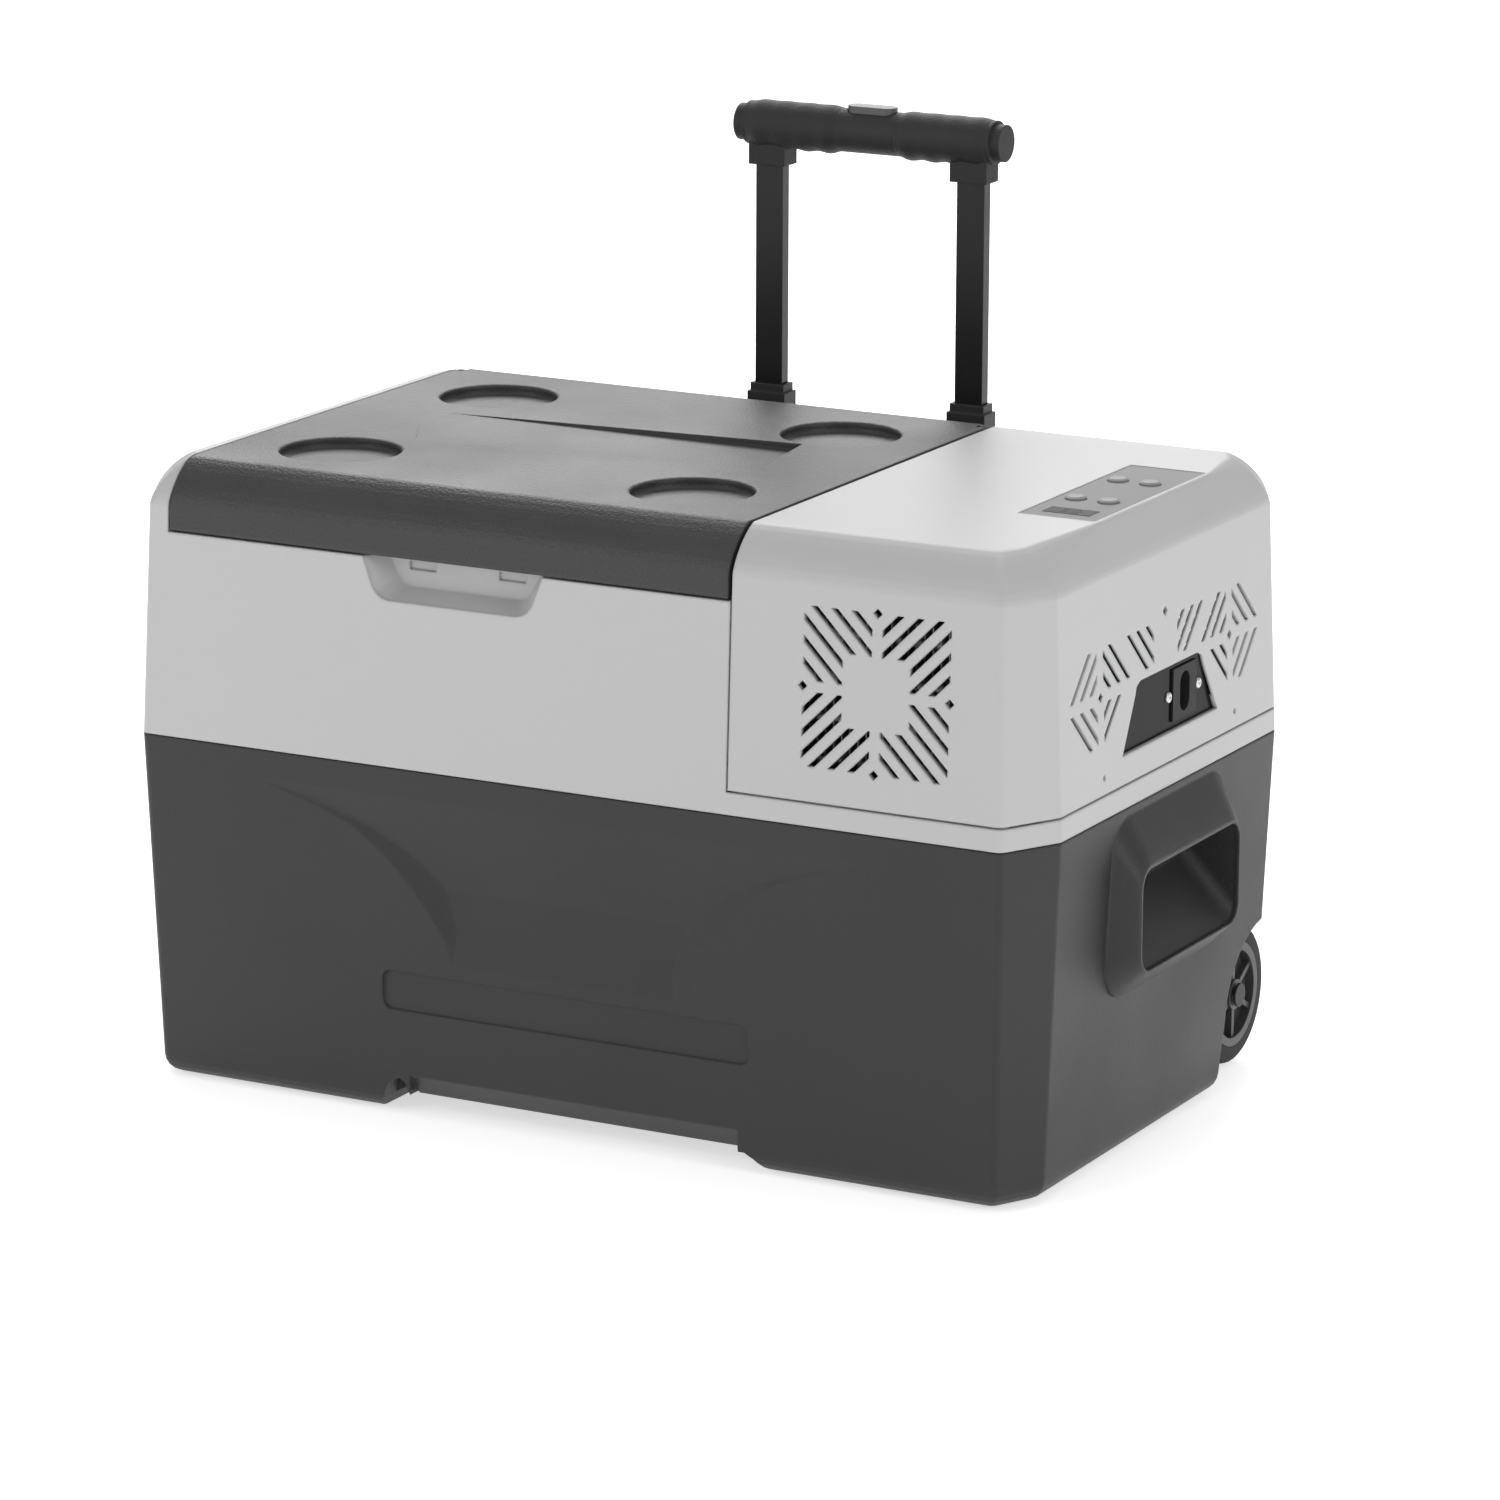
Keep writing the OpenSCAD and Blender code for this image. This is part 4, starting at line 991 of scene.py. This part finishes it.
@dataclass
class FanBlades:
    """Fan wheel with swept, cambered blades."""

    forge: MeshForge
    blades: int = 7
    sections: int = 9
    root: float = 18.5 * MM
    tip_gap: float = 0.5 * MM
    nose: float = 10 * MM
    pitch: float = 15 * MM
    camber: float = 1.6 * MM

    def build(self) -> None:
        """Makes the wheel in place of the flat-bladed one."""
        low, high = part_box("fan_rotor")
        centre = middle("fan_shroud")
        reach = min(high.z - low.z, high.x - low.x) / 2 - self.tip_gap
        mesh = bmesh.new()
        front = centre.y - self.nose
        hub = [
            (0.5, 0.0), (15.5, 0.0), (17.8, 0.6), (19.0, 2.0),
            (19.0, 15.4), (17.0, 15.4), (16.6, 3.0), (0.5, 2.6),
        ]
        shaft = [(2.0, 2.0), (2.0, 20.8), (1.4, 21.2)]
        for outline, count in ((hub, 48), (shaft, 20)):
            rings = [
                circle(
                    count,
                    lambda a, r=r * MM, y=y * MM: Vector(
                        (centre.x + r * math.cos(a), front + y, centre.z + r * math.sin(a))
                    ),
                )
                for r, y in outline
            ]
            MeshForge.skin(mesh, rings)
        for blade in range(self.blades):
            self._blade(mesh, centre, math.tau * blade / self.blades, self.root, reach)
        self.forge.piece("swept_fan_wheel", mesh, "fan", "fan_plastic", 40, ["fan_rotor"])

    def _blade(self, mesh: bmesh.types.BMesh, centre: Vector, start: float, root: float, tip: float) -> None:
        """Adds one cambered blade.

        Args:
            mesh: the mesh that gets it.
            centre: middle of the fan.
            start: angle of the blade's root.
            root: radius where the blade leaves the hub.
            tip: radius of the tip.
        """
        rings: list[Ring] = []
        for index in range(self.sections):
            share = index / (self.sections - 1)
            radius = root + (tip - root) * share
            chord = math.radians(40 - 12 * share)
            pitch = self.pitch * (1 - 0.35 * share)
            sweep = start + 0.35 * share * share
            ring: Ring = []
            for side in (1, -1):
                for part in range(7):
                    u = part / 6 if side > 0 else 1 - part / 6
                    angle = sweep + chord * (u - 0.5)
                    camber = math.sin(math.pi * u) * self.camber
                    thick = side * (0.75 - 0.35 * share) * MM * (0.25 + math.sin(math.pi * u))
                    y = centre.y - 2 * MM + pitch * (u - 0.5) + camber + thick
                    ring.append(
                        Vector((centre.x + radius * math.cos(angle), y, centre.z + radius * math.sin(angle)))
                    )
            rings.append(ring)
        MeshForge.skin(mesh, rings)


@dataclass
class DisplayDigits:
    """Faint unlit seven-segment digits under the display lens."""

    forge: MeshForge
    digits: int = 2
    half_height: float = 3.6 * MM
    spacing: float = 7.2 * MM
    lift: float = 0.03 * MM

    def build(self) -> None:
        """Makes the digit bars just over the lens."""
        low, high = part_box("display_window")
        mesh = bmesh.new()
        centre = (low + high) / 2
        top = high.z + self.lift
        size = self.half_height
        for digit in range(self.digits):
            x = centre.x + (digit - (self.digits - 1) / 2) * self.spacing
            bars = [(0, 1, True), (0, 0, True), (0, -1, True)]
            bars += [(sx, sy, False) for sy in (0.5, -0.5) for sx in (-1, 1)]
            for sx, sy, flat in bars:
                self._bar(mesh, Vector((x + sx * size * 0.5, centre.y + sy * size, top)), size, flat)
        self.forge.piece("display_digits", mesh, "cabinet", "socket_plastic", 40)

    @staticmethod
    def _bar(mesh: bmesh.types.BMesh, place: Vector, size: float, flat: bool) -> None:
        """Adds one six-sided bar.

        Args:
            mesh: the mesh that gets it.
            place: its middle.
            size: height of half a digit.
            flat: the bar lies across the digit.
        """
        half, thin = size * 0.42, size * 0.11
        shape = [
            (-half, 0), (-half + thin, thin), (half - thin, thin),
            (half, 0), (half - thin, -thin), (-half + thin, -thin),
        ]
        rings = []
        for lift in (0.0, 0.04 * MM):
            rings.append([place + (Vector((u, v, lift)) if flat else Vector((v, u, lift))) for u, v in shape])
        MeshForge.skin(mesh, rings)


@dataclass
class Studio:
    """Pale floor, soft lights, world and camera."""

    eye: tuple[float, float, float] = (1.75588, -3.24699, 1.13319)
    yaw: float = 28.05
    pitch: float = 14.32
    roll: float = 0.23
    lens: float = 157.9
    sky: float = 0.45
    floor_reach: float = 40.0
    floor_parts: int = 8

    def build(self) -> None:
        """Makes everything round the cooler."""
        self._floor()
        self._light("key", (-1.4, 2.4, 2.3), (0.0, 0.0, 0.3), 2.4, 72.0)
        self._light("side", (3.0, -0.9, 1.3), (0.1, 0.0, 0.2), 1.2, 19.0)
        self._light("front", (-1.8, -2.9, 1.7), (0.0, 0.0, 0.15), 2.0, 25.0)
        self._light("top", (0.4, 0.5, 3.2), (0.0, 0.0, 0.3), 1.6, 12.0)
        self._world()
        self._camera()

    def _floor(self) -> None:
        """Makes the pale floor."""
        mesh = bmesh.new()
        reach, parts = self.floor_reach, self.floor_parts
        marks = [-reach + 2 * reach * i / parts for i in range(parts + 1)]
        rows = [[Vector((x, y, 0.0)) for x in marks] for y in marks]
        MeshForge.skin(mesh, rows, around=False)
        data = bpy.data.meshes.new("studio_floor")
        mesh.to_mesh(data)
        mesh.free()
        data.materials.append(FloorFinish().build())
        floor = bpy.data.objects.new("studio_floor", data)
        bpy.context.scene.collection.objects.link(floor)

    @staticmethod
    def _light(name: str, place: RGB, aim: RGB, size: float, power: float) -> None:
        """Adds one soft box.

        Args:
            name: name of the light.
            place: where it hangs.
            aim: the point it looks at.
            size: its side, in metres.
            power: its power, in watts.
        """
        data = bpy.data.lights.new(name, "AREA")
        data.shape = "SQUARE"
        data.size = size
        data.energy = power
        lamp = bpy.data.objects.new(name, data)
        lamp.location = place
        lamp.rotation_euler = (Vector(aim) - Vector(place)).to_track_quat("-Z", "Y").to_euler()
        bpy.context.scene.collection.objects.link(lamp)

    def _world(self) -> None:
        """Sets an even white surround."""
        world = bpy.data.worlds.new("surround")
        world.use_nodes = True
        back = world.node_tree.nodes["Background"]
        back.inputs["Color"].default_value = (1.0, 1.0, 1.0, 1.0)
        back.inputs["Strength"].default_value = self.sky
        bpy.context.scene.world = world
        bpy.context.scene.view_settings.view_transform = "Standard"

    def _camera(self) -> None:
        """Sets the camera."""
        data = bpy.data.cameras.new("camera")
        data.lens = self.lens
        data.sensor_width = 36.0
        data.clip_end = 100.0
        camera = bpy.data.objects.new("camera", data)
        turn = (
            Matrix.Rotation(math.radians(self.yaw), 4, "Z")
            @ Matrix.Rotation(math.radians(90 - self.pitch), 4, "X")
            @ Matrix.Rotation(math.radians(self.roll), 4, "Z")
        )
        camera.matrix_world = Matrix.Translation(Vector(self.eye)) @ turn
        bpy.context.scene.collection.objects.link(camera)
        bpy.context.scene.camera = camera


def fit_screws(forge: MeshForge) -> None:
    """Puts cross-head screws in place of the plain heads.

    Args:
        forge: makes the pieces.
    """
    low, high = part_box("inlet_screws")
    seat = high.x - 1.2 * MM
    edge = 3 * MM
    ends = [Vector((seat, y, (low.z + high.z) / 2)) for y in (low.y + edge, high.y - edge)]
    CrossHeadScrews(forge, "inlet_screws", ends, Vector((1, 0, 0))).build()
    low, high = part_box("bracket_screws")
    radius, head = 4 * MM, 2.6 * MM
    rows = [(x, z) for x in (43 * MM, 91 * MM) for z in (low.z + radius, high.z - radius)]
    backs = [Vector((s * x, high.y - 3 * MM, z)) for s in (-1, 1) for x, z in rows]
    CrossHeadScrews(forge, "bracket_screws", backs, Vector((0, 1, 0)), radius, head).build()


def main() -> None:
    """Builds the finishes, the pieces and the studio."""
    logging.basicConfig(level=logging.INFO, format="%(name)s %(message)s")
    finishes = FinishCabinet()
    finishes.dress_frame()
    forge = MeshForge(finishes)
    for side in ("left", "right"):
        RoadWheel(forge, side).build()
    TrolleyGrip(forge).build()
    LidSeal(forge).build()
    FanBlades(forge).build()
    fit_screws(forge)
    DisplayDigits(forge).build()
    Studio().build()


if __name__ == "__main__":
    main()
